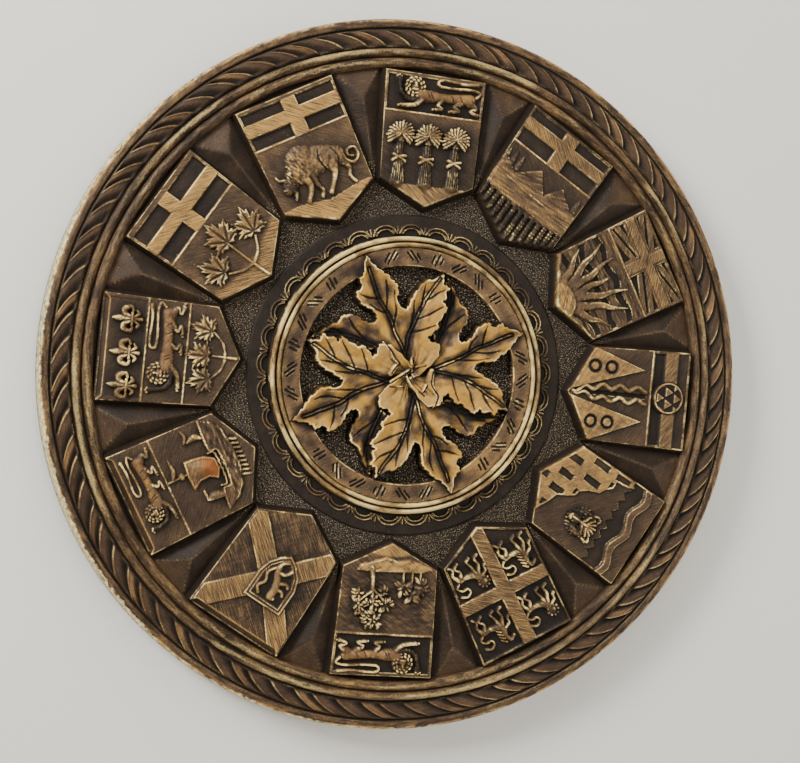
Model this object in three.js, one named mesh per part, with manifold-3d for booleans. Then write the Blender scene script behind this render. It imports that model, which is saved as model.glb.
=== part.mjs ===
// A round moulded wall plaque: rope rim, twelve heraldic shields around a medallion of maple leaves.
// Millimetres. The relief is drawn face up, x across, y up the wall, z out from the flat back,
// and the group then turns it to hang: the back lies in the plane y = 0 and the front faces -Y.

import * as THREE from 'three';
import { mergeVertices } from 'three/addons/utils/BufferGeometryUtils.js';
import Module from 'manifold-3d';

const wasm = await Module();
wasm.setup();

// Radii of the round profile
const OUTER_RADIUS = 147;
const ARRIS_RADIUS = 145;
const ROPE_OUTER = 140.9;
const ROPE_INNER = 133.3;
const BEAD_OUTER = 132.9;
const BEAD_SPLIT = 129.2;
const BEAD_INNER = 125;
const COLLAR_RADIUS = 65.2;
const RING_RADIUS = 56.3;
const RING_SPLIT = 54.1;
const BAND_OUTER = 52;
const BAND_INNER = 44.4;

// Heights above the back
const RIM_HEIGHT = 15.6;
const ARRIS_HEIGHT = 14.6;
const ROPE_BED = 14.9;
const ROPE_RISE = 2;
const BEAD_HEIGHT = 18;
const GROUND = 14.5;
const COLLAR_HEIGHT = 15;
const RING_HEIGHT = 19.4;
const BAND_HEIGHT = 18.7;
const FACE = 18.8;
const CHARGE = 1.2;
const DIVIDER_HEIGHT = 18.2;
const LEAF_EDGE = 20.2;
const LEAF_CREST = 21.6;
const SUNK = 1;

// Repeats around the plaque
const SHIELDS = 12;
const ROPE_GROUPS = 30;
const ROPE_FURROWS = [0, 0.6, 1];
const SCALLOPS = 33;
const SCALLOP_LEAN = 4.7;
const LEAF_LEAN = 2;
const MEDALLION_STEPS = 32;

// One shield: straight top, straight sides, pointed inner end, sloping walls
const SHIELD_TOP = 122.3;
const SHIELD_CORNER = 78.6;
const SHIELD_POINT = 68.6;
const TOP_HALF = 20.8;
const CORNER_HALF = 19.4;
const WALL_SLOPE = 2.4;
const CHIEF_BASE = 105.3;

const turn = Math.PI * 2;
const degrees = Math.PI / 180;

// Closed meshes for joining: repeated corners become one, faces are turned outward
function toSolid(geometry) {
  geometry.deleteAttribute('normal');
  geometry.deleteAttribute('uv');
  const merged = mergeVertices(geometry, 1e-4);
  const place = merged.attributes.position.array;
  const corners = merged.index.array;
  const faces = [];
  let volume = 0;
  for (let i = 0; i < corners.length; i += 3) {
    const [a, b, c] = corners.slice(i, i + 3);
    if (a === b || b === c || c === a) continue;
    const [p, q, r] = [a, b, c].map((k) => new THREE.Vector3().fromArray(place, 3 * k));
    volume += p.dot(q.cross(r));
    faces.push([a, b, c]);
  }
  const outward = volume > 0 ? faces : faces.map(([a, b, c]) => [a, c, b]);
  const triVerts = new Uint32Array(outward.flat());
  const vertProperties = new Float32Array(place);
  return new wasm.Manifold(new wasm.Mesh({ numProp: 3, vertProperties, triVerts }));
}

function fromSolid(solid) {
  const mesh = solid.getMesh();
  const geometry = new THREE.BufferGeometry();
  geometry.setAttribute('position', new THREE.BufferAttribute(mesh.vertProperties, 3));
  geometry.setIndex(new THREE.BufferAttribute(mesh.triVerts, 1));
  return geometry;
}

const join = (solids) => solids.reduce((whole, next) => whole.add(next));
const turned = (solid, angle) => toSolid(fromSolid(solid).rotateZ(-angle));

// A flat-topped plate with upright sides over an outline
function plate(outline, top, foot = FACE - SUNK) {
  const shape = new THREE.Shape(outline.map(([x, y]) => new THREE.Vector2(x, y)));
  const geometry = new THREE.ExtrudeGeometry(shape, { depth: top - foot, bevelEnabled: false });
  return toSolid(geometry.translate(0, 0, foot));
}

// A closed skin over sections of equal length, each a ring of points
function skin(sections) {
  const count = sections[0].length;
  const last = (sections.length - 1) * count;
  const faces = [];
  for (let i = 0; i < last; i += count) {
    for (let j = 0; j < count; j++) {
      const next = (j + 1) % count;
      faces.push(i + j, i + next, i + count + next, i + j, i + count + next, i + count + j);
    }
  }
  for (let j = 1; j + 1 < count; j++) {
    faces.push(j + 1, j, 0, last, last + j, last + j + 1);
  }
  const geometry = new THREE.BufferGeometry();
  geometry.setAttribute('position', new THREE.Float32BufferAttribute(sections.flat(2), 3));
  geometry.setIndex(faces);
  return toSolid(geometry);
}

// The direction across a path at one of its points
function across(path, i) {
  const from = path[Math.max(i - 1, 0)];
  const to = path[Math.min(i + 1, path.length - 1)];
  const length = Math.hypot(to[0] - from[0], to[1] - from[1]);
  return [(from[1] - to[1]) / length, (to[0] - from[0]) / length];
}

// A ridge along a path of [x, y, half width], highest along its middle
function ridge(path, rise = CHARGE, base = FACE) {
  const foot = base - SUNK;
  return skin(path.map(([x, y, half], i) => {
    const [nx, ny] = across(path, i);
    const spread = half * (1 + SUNK / rise);
    const crest = i === 0 || i === path.length - 1 ? rise * 0.7 : rise;
    return [
      [x - nx * spread, y - ny * spread, foot],
      [x, y, base + crest],
      [x + nx * spread, y + ny * spread, foot],
    ];
  }));
}

// A low boss: a sloping skirt and a small flat crown
function boss(x, y, radius, rise = CHARGE, { stretch = 1, sides = 6, base = FACE } = {}) {
  const ring = (scale, height) => Array.from({ length: sides }, (_, i) => {
    const angle = turn * (i + 0.5) / sides;
    return [x + radius * scale * Math.cos(angle), y + radius * scale * stretch * Math.sin(angle), height];
  });
  return skin([ring(1 + 0.45 * SUNK / rise, base - SUNK), ring(0.55, base + rise)]);
}

const bar = (left, right, low, high) => [[left, low], [right, low], [right, high], [left, high]];
const mirrored = (half) => [...half, ...half.slice().reverse().map(([x, y]) => [-x, y])];
const moved = (points, dx, dy, scale = 1) => points.map(([x, y, half]) => (
  [dx + x * scale, dy + y * Math.abs(scale), half && half * Math.abs(scale)]
));

function wave(x0, x1, y, swing, length, thick, steps) {
  const line = Array.from({ length: steps + 1 }, (_, i) => {
    const x = x0 + (x1 - x0) * i / steps;
    return [x, y + swing * Math.sin(turn * x / length)];
  });
  return [...line, ...line.slice().reverse().map(([x, h]) => [x, h - thick])];
}

// The round body: rim, rope, beads and sunk ground. The rope's slanted strands lie in groups, each
// a ridge between two furrows, and all other rings have their corners at even angles.
function roundBody() {
  const outside = [
    [0, 0], [OUTER_RADIUS - 1.5, 0], [OUTER_RADIUS, 1.5], [ARRIS_RADIUS, ARRIS_HEIGHT],
    [ARRIS_RADIUS - 1.4, RIM_HEIGHT], [ROPE_OUTER + 0.5, RIM_HEIGHT],
  ];
  const inside = [
    [BEAD_OUTER - 1.4, BEAD_HEIGHT], [BEAD_SPLIT, BEAD_HEIGHT - 1.6],
    [BEAD_SPLIT - 2, BEAD_HEIGHT - 0.2], [BEAD_INNER, BEAD_HEIGHT - 1.8],
    [BEAD_INNER - 0.4, GROUND], [0, GROUND],
  ];
  const [outerLead, middleLead, innerLead] = [-3.4, -0.4, 1.9];
  const middle = (ROPE_OUTER + ROPE_INNER) / 2;
  const groupTurn = 360 / ROPE_GROUPS;
  const strands = ROPE_FURROWS.length - 1;
  const sections = [];
  for (let i = 0; i < ROPE_GROUPS * strands; i++) {
    const [group, strand] = [Math.floor(i / strands), i % strands];
    const even = i * groupTurn / strands;
    const furrow = (group + ROPE_FURROWS[strand]) * groupTurn;
    const crest = (group + ROPE_FURROWS[strand] * 0.35 + ROPE_FURROWS[strand + 1] * 0.65) * groupTurn;
    for (const [angle, rise] of [[furrow, 0.5], [crest, 0.5 + ROPE_RISE]]) {
      sections.push([
        ...outside.map(([r, z]) => polar(r, even, z)),
        polar(ROPE_OUTER, furrow + outerLead, ROPE_BED),
        polar(middle, angle + middleLead, ROPE_BED + rise),
        polar(ROPE_INNER, furrow + innerLead, ROPE_BED),
        ...inside.map(([r, z]) => polar(r, even, z)),
      ]);
    }
  }
  return hoop(sections);
}

// The medallion: dark collar, double ring, stroked band, sunk field
function medallionBody() {
  const profile = [
    [0, GROUND - SUNK], [COLLAR_RADIUS + 0.6, GROUND - SUNK], [COLLAR_RADIUS, COLLAR_HEIGHT],
    [RING_RADIUS + 0.5, COLLAR_HEIGHT], [RING_RADIUS - 1, RING_HEIGHT],
    [RING_SPLIT, RING_HEIGHT - 1], [RING_SPLIT - 1, RING_HEIGHT],
    [BAND_OUTER, BAND_HEIGHT], [BAND_INNER, BAND_HEIGHT], [BAND_INNER - 0.6, GROUND + 0.2],
    [0, GROUND + 0.2],
  ];
  const points = profile.map(([r, z]) => new THREE.Vector2(r, z));
  return toSolid(new THREE.LatheGeometry(points, MEDALLION_STEPS).rotateX(Math.PI / 2));
}

function polar(radius, angle, height) {
  return [radius * Math.sin(angle * degrees), radius * Math.cos(angle * degrees), height];
}

// A closed hoop whose last section joins its first
function hoop(sections) {
  const count = sections[0].length;
  const faces = [];
  sections.forEach((_, i) => {
    const here = i * count;
    const there = ((i + 1) % sections.length) * count;
    for (let j = 0; j < count; j++) {
      const next = (j + 1) % count;
      faces.push(here + j, here + next, there + next, here + j, there + next, there + j);
    }
  });
  const geometry = new THREE.BufferGeometry();
  geometry.setAttribute('position', new THREE.Float32BufferAttribute(sections.flat(2), 3));
  geometry.setIndex(faces);
  return toSolid(geometry);
}

// A chain of low tongues around the double ring, wide at the ring and blunt outside
function scallops() {
  const [near, far] = [RING_RADIUS + 0.8, 61.6];
  const solids = [];
  for (let i = 0; i < SCALLOPS; i++) {
    const foot = [[-5, near], [-2.8, far], [2.8, far], [5, near]];
    const crown = [[-3.8, near + 0.5], [-2.1, far - 1.2], [2.1, far - 1.2], [3.8, near + 0.5]];
    const sections = [[foot, COLLAR_HEIGHT - SUNK / 2], [crown, COLLAR_HEIGHT + 0.8]];
    const tongue = skin(sections.map(([ring, height]) => ring.map(([x, y]) => [x, y, height])));
    solids.push(turned(tongue, SCALLOP_LEAN * degrees + i * turn / SCALLOPS));
  }
  return join(solids);
}

// The faceted bosses between shields: an apex near the rim and a ridge running inward
function dividers() {
  const solids = [];
  for (let i = 0; i < SHIELDS; i++) {
    const outline = [[-9.4, BEAD_INNER], [9.4, BEAD_INNER], [0.6, 84], [-0.6, 84]];
    const apex = [[-0.2, 113.2], [0.2, 113.2], [0.15, 90], [-0.15, 90]];
    const heights = [DIVIDER_HEIGHT, DIVIDER_HEIGHT, DIVIDER_HEIGHT - 2.6, DIVIDER_HEIGHT - 2.6];
    const low = outline.map(([x, y]) => [x, y, GROUND - SUNK]);
    const high = apex.map(([x, y], k) => [x, y, heights[k]]);
    solids.push(turned(skin([low, high]), (i + 0.5) * turn / SHIELDS));
  }
  return solids;
}

// Shallow strokes around the band, each a slanted furrow, in four rows between the leaf tips
function bandStrokes() {
  const solids = [];
  const perRow = 6;
  const [pitch, half, sink, clear] = [11.6, 1, 0.9, 0.6];
  for (let row = 0; row < 4; row++) {
    for (let i = 0; i < perRow; i++) {
      const lean = [1.6, -1.6, 0.4][i % 3];
      const across = [[-half, BAND_HEIGHT + clear], [half, BAND_HEIGHT + clear], [0, BAND_HEIGHT - sink]];
      const ends = [[-lean, BAND_INNER + 1.6], [lean, BAND_OUTER - 1.6]];
      const furrow = skin(ends.map(([shift, y]) => across.map(([x, z]) => [x + shift, y, z])));
      solids.push(turned(furrow, (90 * row + 16.5 + pitch * i) * degrees));
    }
  }
  return solids;
}

// One lobe of a leaf, folded up along its vein: a waist, shoulders and a drawn-out tip
function lobe(root, tip, stations, lift) {
  const length = Math.hypot(tip[0] - root[0], tip[1] - root[1]);
  const [dx, dy] = [(tip[0] - root[0]) / length, (tip[1] - root[1]) / length];
  return skin(stations.map(([share, reach]) => {
    const [x, y] = [root[0] + dx * length * share, root[1] + dy * length * share];
    const edge = LEAF_EDGE + lift;
    const crest = edge + (LEAF_CREST - LEAF_EDGE) * (1 - 0.8 * share);
    return [
      [x - dy * reach, y + dx * reach, GROUND - SUNK / 2],
      [x - dy * reach, y + dx * reach, edge],
      [x, y, crest],
      [x + dy * reach, y - dx * reach, edge],
      [x + dy * reach, y - dx * reach, GROUND - SUNK / 2],
    ];
  }));
}

// Four leaves of three lobes, their stems meeting at the centre
function leaves() {
  const longLobe = [[0, 3], [0.46, 5.4], [0.72, 8.6], [0.78, 4.6], [1, 0.3]];
  const sideLobe = [[0, 3], [0.45, 5], [0.72, 8], [1, 0.3]];
  const solids = [];
  for (let i = 0; i < 4; i++) {
    const leaf = [
      lobe([0, 4], [0, 50.6], longLobe, 0),
      lobe([-1, 7], [-31, 30], sideLobe, -0.5),
      lobe([1, 7], [30, 30], sideLobe, -0.3),
    ];
    solids.push(turned(join(leaf), LEAF_LEAN * degrees + i * turn / 4));
  }
  for (const stem of [[[-7, 14, 1.2], [0, 2, 1]], [[8, -12, 1.2], [0, -2, 1]]]) {
    solids.push(ridge(stem, 1.4, LEAF_EDGE + 0.6));
  }
  return solids;
}

// Figures shared by several shields
const BEAST_LIMBS = {
  body: [[-5.5, 1.6, 2.5], [16.4, 0, 2.1]],
  reach: [[-5, 0.6, 1], [-12.6, 0.8, 0.9], [-17.6, 5.4, 1]],
  fore: [[-4, 0, 1], [-14.5, -5.2, 0.9]],
  mid: [[9, 0, 1.2], [3.5, -5.2, 0.9]],
  hind: [[15, 0, 1.3], [17.6, -5.2, 0.9]],
  tail: [[18, 4.4, 0.6], [0.8, 5, 0.6], [17.5, 7, 0.6]],
};

function lion(x, y, scale = 1) {
  const limbs = Object.values(BEAST_LIMBS).map((path) => ridge(moved(path, x, y, scale)));
  return [...limbs, boss(x - 9 * scale, y + 4.2 * scale, 3.5 * scale, CHARGE + 0.5)];
}

function smallBeast(x, y) {
  const limbs = [
    [[-4.4, 6, 2], [-3, 0.8, 1.7], [-6.4, -6.4, 0.8]],
    [[-2.6, 0.4, 1.6], [4.8, 0, 1.6], [4.6, -6.8, 0.8]],
    [[5.4, 1.4, 0.6], [6.8, 5, 0.5], [3.4, 7.4, 0.5]],
  ];
  return limbs.map((path) => ridge(moved(path, x, y)));
}

const MAPLE_HALF = [[0, 1], [0.3, 0.4], [0.9, 0.5], [0.6, 0], [0.5, -0.5], [0.1, -0.3]];

function mapleLeaf(x, y, size, lean = 0) {
  const outline = mirrored(MAPLE_HALF).filter(([px], i) => !(px === 0 && i > 0));
  const [c, s] = [Math.cos(lean), Math.sin(lean)];
  const placed = outline.map(([px, py]) => [x + size * (px * c + py * s), y + size * (py * c - px * s)]);
  return plate(placed, FACE + CHARGE);
}

// A chief with a cross of light wood on a sunk field
function crossChief() {
  const [low, high] = [111.6, 116.6];
  return {
    cut: [plate(bar(-30, 30, CHIEF_BASE + 0.6, SHIELD_TOP - 1.2), FACE + 4, FACE - 0.9)],
    add: [
      plate(bar(-20.6, 20.6, low, high), FACE + 0.3, FACE - 2),
      plate(bar(-3, 3, CHIEF_BASE, SHIELD_TOP - 0.6), FACE + 0.3, FACE - 2),
    ],
  };
}

// A chief with a long beast on a sunk field
function beastChief() {
  return {
    cut: [plate(bar(-19.2, 19.6, CHIEF_BASE + 1, SHIELD_TOP - 1), FACE + 4, FACE - 0.8)],
    add: lion(0.4, 113.2, 0.98),
  };
}

const fieldRidge = (y) => ridge([[-19.6, y, 0.5], [19.6, y, 0.5]], 0.6);

function bison() {
  const chief = crossChief();
  const beast = [
    [[-10, 91, 4.4], [-5, 95, 5], [1, 94, 5], [8, 92, 4], [12.5, 90, 2.8]],
    [[-7.5, 90, 1.6], [-6.8, 84, 1], [-9, 79.6, 0.9]],
    [[-4.6, 90, 1.4], [-4, 84, 0.9], [-2.8, 79.4, 0.9]],
    [[7, 90, 1.8], [5.6, 84.6, 1], [3.4, 79.4, 0.9]],
    [[11, 90, 1.8], [12.6, 84.6, 1], [11.4, 79.6, 0.9]],
    [[13, 92, 0.7], [15.4, 88.6, 0.6], [18, 91.4, 0.6], [15.6, 93.4, 0.6]],
  ].map((path) => ridge(path, 2));
  const head = boss(-13.2, 89.6, 4.4, 2.4, { stretch: 1.1 });
  const hill = plate([[-19.2, 78.6], [0, 77.6], [19.2, 79], [0, SHIELD_POINT + 0.2]], FACE + 0.4);
  return { cut: chief.cut, add: [...chief.add, ...beast, head, hill] };
}

function sheaves() {
  const chief = beastChief();
  const solids = [];
  for (const x of [-11.8, -0.6, 10.8]) {
    solids.push(boss(x, 97.4, 5.2, 1.5, { stretch: 0.95, sides: 7 }));
    solids.push(ridge([[x, 94.6, 2.6], [x, 87.6, 1.9], [x, 77.8, 3]], 1.5));
    solids.push(ridge([[x - 2.6, 87.4, 0.8], [x + 2.6, 87.4, 0.8]], 1.8));
  }
  return { cut: chief.cut, add: [...chief.add, ...solids] };
}

function mountains() {
  const chief = crossChief();
  const hills = [[-20.2, 84], [-20.2, 97], [-16.4, 100.6], [-10.4, 96], [-1.6, 101.4], [3.4, 95.6],
    [9.4, 101], [15, 95.6], [20, 98], [20, 84], [0, 82.4]];
  const solids = [plate(hills, FACE + 0.6), fieldRidge(90)];
  for (let i = 0; i < 10; i++) {
    const x = -17.6 + i * 3.9;
    const low = SHIELD_POINT + Math.abs(x) * 0.52;
    solids.push(ridge([[x, 85.6 - Math.cos(x / 14) * 1.6, 0.9], [x, low, 0.9]], 1.1));
  }
  return { cut: chief.cut, add: [...chief.add, ...solids] };
}

function sunrise() {
  const cross = { low: 112, high: 115.8, half: 2.2, border: 1.2 };
  const solids = [
    plate(bar(-20.6, 20.6, cross.low - cross.border, cross.high + cross.border), FACE + 0.2, FACE - 2),
    plate(bar(-cross.half - cross.border, cross.half + cross.border, 105, SHIELD_TOP), FACE + 0.2, FACE - 2),
    plate(bar(-20.6, 20.6, cross.low, cross.high), FACE + 0.6, FACE - 2),
    plate(bar(-cross.half, cross.half, 105, SHIELD_TOP), FACE + 0.6, FACE - 2),
  ];
  for (const side of [-1, 1]) {
    for (const [inner, outer] of [[117, 121.6], [110.6, 106]]) {
      const edge = [[side * 4, inner], [side * 18.4, outer], [side * 20, outer + (inner - outer) * 0.3],
        [side * 8, inner]];
      solids.push(plate(side * (outer - inner) > 0 ? edge.reverse() : edge, FACE + 0.1, FACE - 2));
    }
  }
  solids.push(plate(wave(-20.3, 20.3, 103, 0.8, 15, 5, 6), FACE + 0.3));
  for (let i = 0; i < 7; i++) {
    const angle = (-72 + 24 * i) * degrees;
    const length = i % 2 ? 29 : 24;
    const path = [[6, 0, 1.8], [length * 0.6, 1.2, 1.2], [length, 0.4, 0.3]];
    const flame = path.map(([out, side, half]) => [
      out * Math.sin(angle) + side * Math.cos(angle),
      70.5 + out * Math.cos(angle) - side * Math.sin(angle),
      half,
    ]);
    solids.push(ridge(flame, 1.5));
  }
  solids.push(boss(0, 70.6, 8, 1.6, { sides: 8 }));
  return { cut: [plate(bar(-30, 30, 105.2, SHIELD_TOP - 0.8), FACE + 4, FACE - 0.8)], add: solids };
}

function piles() {
  const solids = [plate(bar(-20.6, 20.6, 111.4, 116.8), FACE + 0.2, FACE - 2), fieldRidge(CHIEF_BASE)];
  for (const side of [-1, 1]) {
    const pile = [[side * 11, 102], [side * 2.2, 69.6], [side * 18.8, 78.4]];
    solids.push(plate(side < 0 ? pile : pile.reverse(), FACE + 0.9));
    solids.push(ridge([[side * 2.4, 102.6, 0.8], [side * 3, 94, 0.8], [side * 1.6, 86, 0.7],
      [side * 0.8, 71, 0.6]], 0.9));
    for (const y of [87, 79.3]) {
      solids.push(boss(side * 11.7, y, 1.8, 0.7, { base: FACE + 0.9, sides: 6 }));
    }
  }
  solids.push(boss(0, 113.8, 6.8, 1.4, { sides: 8 }));
  return { cut: [plate(bar(-30, 30, 106.2, 110.6), FACE + 4, FACE - 0.8)], add: solids };
}

function towers() {
  const teeth = [];
  for (let i = 0; i <= 9; i++) {
    teeth.push([-19.8 + i * 4.4, i % 2 ? 104.4 : 107.4]);
  }
  const town = [[-20.1, 107], [-16.4, 106], [-15.6, 98], [-8, 96.4], [-4, 90], [3.6, 85], [9.6, 80.4],
    [15.6, 76.4], [0, 68.4], [-19, 78]];
  const windows = [];
  for (const [y, xs] of [[90, [-17.6, -9.6]], [78.8, [-13.4, -5.8, 1.8]], [71.4, [-1]]]) {
    for (const x of xs) {
      windows.push(plate(bar(x - 1.6, x + 1.6, y - 3, y + 3.2), FACE + 4, FACE + 0.1));
    }
  }
  const wall = windows.reduce((whole, hole) => whole.subtract(hole), plate(town, FACE + 0.9));
  const mask = [
    boss(7.6, 96.6, 6, 1.7, { stretch: 1 }), boss(7.4, 92.6, 2.6, 2.4, { sides: 6 }),
    boss(3, 101.6, 1.8, 1.8, { sides: 6 }), boss(12.4, 101.6, 1.8, 1.8, { sides: 6 }),
  ];
  const river = plate(wave(-20.4, 20.4, 115.2, 1.3, 14, 2.6, 12), FACE + 0.6);
  const upper = plate([...teeth, [20.5, 118], [-20.5, 118]].reverse(), FACE + 4, FACE - 0.6);
  return { cut: [upper.subtract(plate(bar(-30, 30, 111, 120), FACE + 9))], add: [wall, river, ...mask] };
}

function quarters() {
  const arms = [
    plate(bar(-2.9, 2.9, SHIELD_POINT + 1, SHIELD_TOP), FACE + 0.6, FACE - 2),
    plate(bar(-20, 20, 95.2, 100.4), FACE + 0.6, FACE - 2),
  ];
  const beasts = [[-11, 110.6], [11, 110.6], [-11, 87.4], [11, 87.4]].map(([x, y]) => smallBeast(x, y));
  const sunk = [bar(-19.6, 19.6, 101.2, 121.2), bar(-18.8, 18.8, 79, 94.4)];
  return { cut: sunk.map((field) => plate(field, FACE + 4, FACE - 0.8)), add: [...arms, ...beasts.flat()] };
}

function oak() {
  const chief = beastChief();
  const island = [[-17, 79.4], [-8, 80.4], [2, 79.2], [12, 80], [17.4, 79.4], [0, SHIELD_POINT + 0.2]];
  const solids = [plate(island.reverse(), FACE + 0.7), ridge([[7, 78, 1.4], [7.2, 90, 1]], 1.4)];
  for (const [x, y] of [[6.4, 99.4], [1.6, 92.6], [11, 92.8]]) {
    solids.push(boss(x, y, 4.6, 1.8));
  }
  for (const [x, y] of [[-13.6, 86], [-9.6, 88.6], [-5.6, 86]]) {
    solids.push(ridge([[x, 79, 0.6], [x, y - 2, 0.7], [x, y, 1.8], [x, y + 2.4, 0.4]], 1.1));
  }
  return { cut: chief.cut, add: [...chief.add, ...solids] };
}

function saltire() {
  const [cx, cy, half] = [-1, 98.6, 4.2];
  const solids = [];
  for (const [x, y] of [[-20.4, 120.4], [20.4, 120.4], [-18, 80.6], [18, 80.6]]) {
    const length = Math.hypot(x - cx, y - cy);
    const [nx, ny] = [-(y - cy) / length * half, (x - cx) / length * half];
    const band = [[cx - nx, cy - ny], [x - nx, y - ny], [x + nx, y + ny], [cx + nx, cy + ny]];
    solids.push(plate(band, FACE + 0.9));
  }
  const crest = (half2, top) => [[0, 108.6 - top], [half2, 108.6 - top], [half2, 96], [half2 * 0.6, 90],
    [0, 86.6 + top]];
  const small = (size, top) => mirrored(crest(size, top)).filter(([x], i) => !(x === 0 && i > 5))
    .map(([x, y]) => [x - 2.6, y]);
  solids.push(plate(small(8.4, 0).slice(1), FACE + 1.5), plate(small(6.6, 1.6).slice(1), FACE + 2));
  const rampant = [
    [[-4, 100, 1.4], [-2.4, 96, 1.3], [0, 92.6, 1.2]], [[-3.4, 99, 0.8], [-6.4, 97.4, 0.6]],
    [[-2.6, 96.6, 0.8], [-6, 93.8, 0.6]], [[-0.4, 93, 0.9], [-3, 90.4, 0.6]],
    [[0.6, 93, 0.6], [2.6, 97, 0.5], [1, 102, 0.6]],
  ];
  solids.push(...rampant.map((path) => ridge(path, 1.1, FACE + 2)));
  solids.push(boss(-3.8, 102.4, 1.8, 1.3, { base: FACE + 2, sides: 6 }));
  return { cut: [], add: solids };
}

function ship() {
  const chief = beastChief();
  const hull = [[-17, 87], [-8.4, 84.6], [-8, 82.6], [6, 82.6], [7, 84.8], [18, 85.4], [13, 78.6],
    [-10, 77.4]];
  const waves = [];
  for (let i = 0; i < 6; i++) {
    const x = -9 + i * 3.6;
    waves.push(ridge([[x - 1.4, 75.2, 0.5], [x + 1, 77, 0.6]], 0.7));
  }
  const solids = [
    plate(hull.reverse(), FACE + 1.3), boss(1, 90.6, 6, 2.3, { sides: 8, stretch: 0.95 }),
    ridge([[1.2, 96, 0.6], [1.2, 104.6, 0.5]], 1), boss(1.6, 99.2, 1.5, 1.2, { sides: 6 }),
    ridge([[3, 102.4, 0.9], [9.4, 101.4, 0.4]], 0.8), ridge([[-11, 87, 1.6], [-10, 93.4, 0.5]], 1.1),
    ridge([[12.6, 86, 1.6], [13.6, 93, 0.5]], 1.1), ...waves,
  ];
  return { cut: chief.cut, add: [...chief.add, ...solids] };
}

function lily(x, y) {
  return [
    ridge([[x, y + 6.6, 0.3], [x, y + 3, 1.3], [x, y - 3.6, 0.8]], 1.6),
    ridge([[x - 4.8, y, 0.8], [x - 2.6, y + 2, 1.1], [x, y - 1.4, 1], [x + 2.6, y + 2, 1.1],
      [x + 4.8, y, 0.8]], 1.4),
  ];
}

function lilies() {
  const flowers = [-13.2, -0.2, 12.4].flatMap((x) => lily(x, 112.6));
  const sprig = [mapleLeaf(-10, 83, 4.9, -0.3), mapleLeaf(0.2, 83.4, 4.9), mapleLeaf(10, 83, 4.9, 0.3)];
  const stems = [ridge([[-8, 79.6, 0.5], [-4, 76, 0.5], [0, 74.6, 0.5]], 0.9),
    ridge([[8, 79.6, 0.5], [4, 76, 0.5], [0, 74.6, 0.5]], 0.9),
    ridge([[0.2, 80, 0.5], [0, 70.4, 0.5]], 0.9)];
  const ridges = [fieldRidge(CHIEF_BASE), fieldRidge(89.8)];
  return { cut: [], add: [...flowers, ...lion(0.4, 96.8, 0.98), ...sprig, ...stems, ...ridges] };
}

function mapleSprig() {
  const chief = crossChief();
  const solids = [
    mapleLeaf(0, 93.4, 7), mapleLeaf(-11.4, 86.8, 7, -0.25), mapleLeaf(10.4, 87, 7, 0.3),
    ridge([[0, 90, 0.6], [-0.2, 69.6, 0.7]], 1),
    ridge([[-9.4, 83.4, 0.6], [-5, 78.6, 0.5], [-0.2, 77, 0.5]], 1),
    ridge([[8.4, 83.6, 0.6], [5, 79, 0.5], [-0.2, 77, 0.5]], 1),
  ];
  return { cut: chief.cut, add: [...chief.add, ...solids] };
}

const shieldOutline = (grow) => [
  [-TOP_HALF - grow, SHIELD_TOP + grow], [-CORNER_HALF - grow, SHIELD_CORNER - grow * 0.55],
  [0, SHIELD_POINT - grow * 1.13], [CORNER_HALF + grow, SHIELD_CORNER - grow * 0.55],
  [TOP_HALF + grow, SHIELD_TOP + grow],
];

// A shield block with its figures, in its own place below the top of the rim
function shield({ cut, add }) {
  const grow = WALL_SLOPE * (1 + SUNK / (FACE - GROUND));
  const block = skin([
    shieldOutline(grow).map(([x, y]) => [x, y, GROUND - SUNK]),
    shieldOutline(0).map(([x, y]) => [x, y, FACE]),
  ]);
  const inside = plate(shieldOutline(-0.15), FACE + 5, FACE - 3);
  const sunk = cut.reduce((whole, hole) => whole.subtract(hole), block);
  return sunk.add(join(add).intersect(inside));
}

const ARMS = [bison, sheaves, mountains, sunrise, piles, towers, quarters, oak, saltire, ship, lilies,
  mapleSprig];

function wholePlaque() {
  const shields = ARMS.map((arms, i) => turned(shield(arms()), i * turn / SHIELDS));
  const parts = [roundBody(), ...dividers(), medallionBody(), scallops(), ...shields, ...leaves()];
  return bandStrokes().reduce((whole, stroke) => whole.subtract(stroke), join(parts));
}

const browned = new THREE.MeshStandardMaterial({ color: 0x6b4a2a, roughness: 0.72, metalness: 0.05 });

const plaque = new THREE.Mesh(fromSolid(wholePlaque()), browned);
plaque.name = 'plaque';
plaque.geometry.computeVertexNormals();

const group = new THREE.Group();
group.rotation.x = Math.PI / 2;
group.add(plaque);

export default group;
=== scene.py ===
# The looks of a round moulded wall plaque: a rope rim, twelve shields and a medallion of maple leaves.
# Reliefs are drawn face up in millimetres: x across, y up the wall, height out from the flat back.

import math

import bpy
import numpy as np
from mathutils import Matrix, Vector


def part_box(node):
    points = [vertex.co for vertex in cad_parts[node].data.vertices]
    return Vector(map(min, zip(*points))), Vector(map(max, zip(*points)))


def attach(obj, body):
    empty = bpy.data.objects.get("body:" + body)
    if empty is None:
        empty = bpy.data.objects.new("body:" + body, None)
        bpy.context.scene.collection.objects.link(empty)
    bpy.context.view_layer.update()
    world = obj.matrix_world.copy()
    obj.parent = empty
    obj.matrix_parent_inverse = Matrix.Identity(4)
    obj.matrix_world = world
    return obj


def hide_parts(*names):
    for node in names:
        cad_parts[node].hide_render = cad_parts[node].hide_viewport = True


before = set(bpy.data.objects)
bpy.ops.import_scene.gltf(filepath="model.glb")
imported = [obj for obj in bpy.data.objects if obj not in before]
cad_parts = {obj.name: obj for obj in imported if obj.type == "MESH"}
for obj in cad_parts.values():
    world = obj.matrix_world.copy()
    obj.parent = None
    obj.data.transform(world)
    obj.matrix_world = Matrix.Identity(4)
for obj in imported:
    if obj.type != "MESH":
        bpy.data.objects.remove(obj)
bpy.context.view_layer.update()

MM = 0.001
NODE = "plaque"
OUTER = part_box(NODE)[1].x / MM
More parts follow.
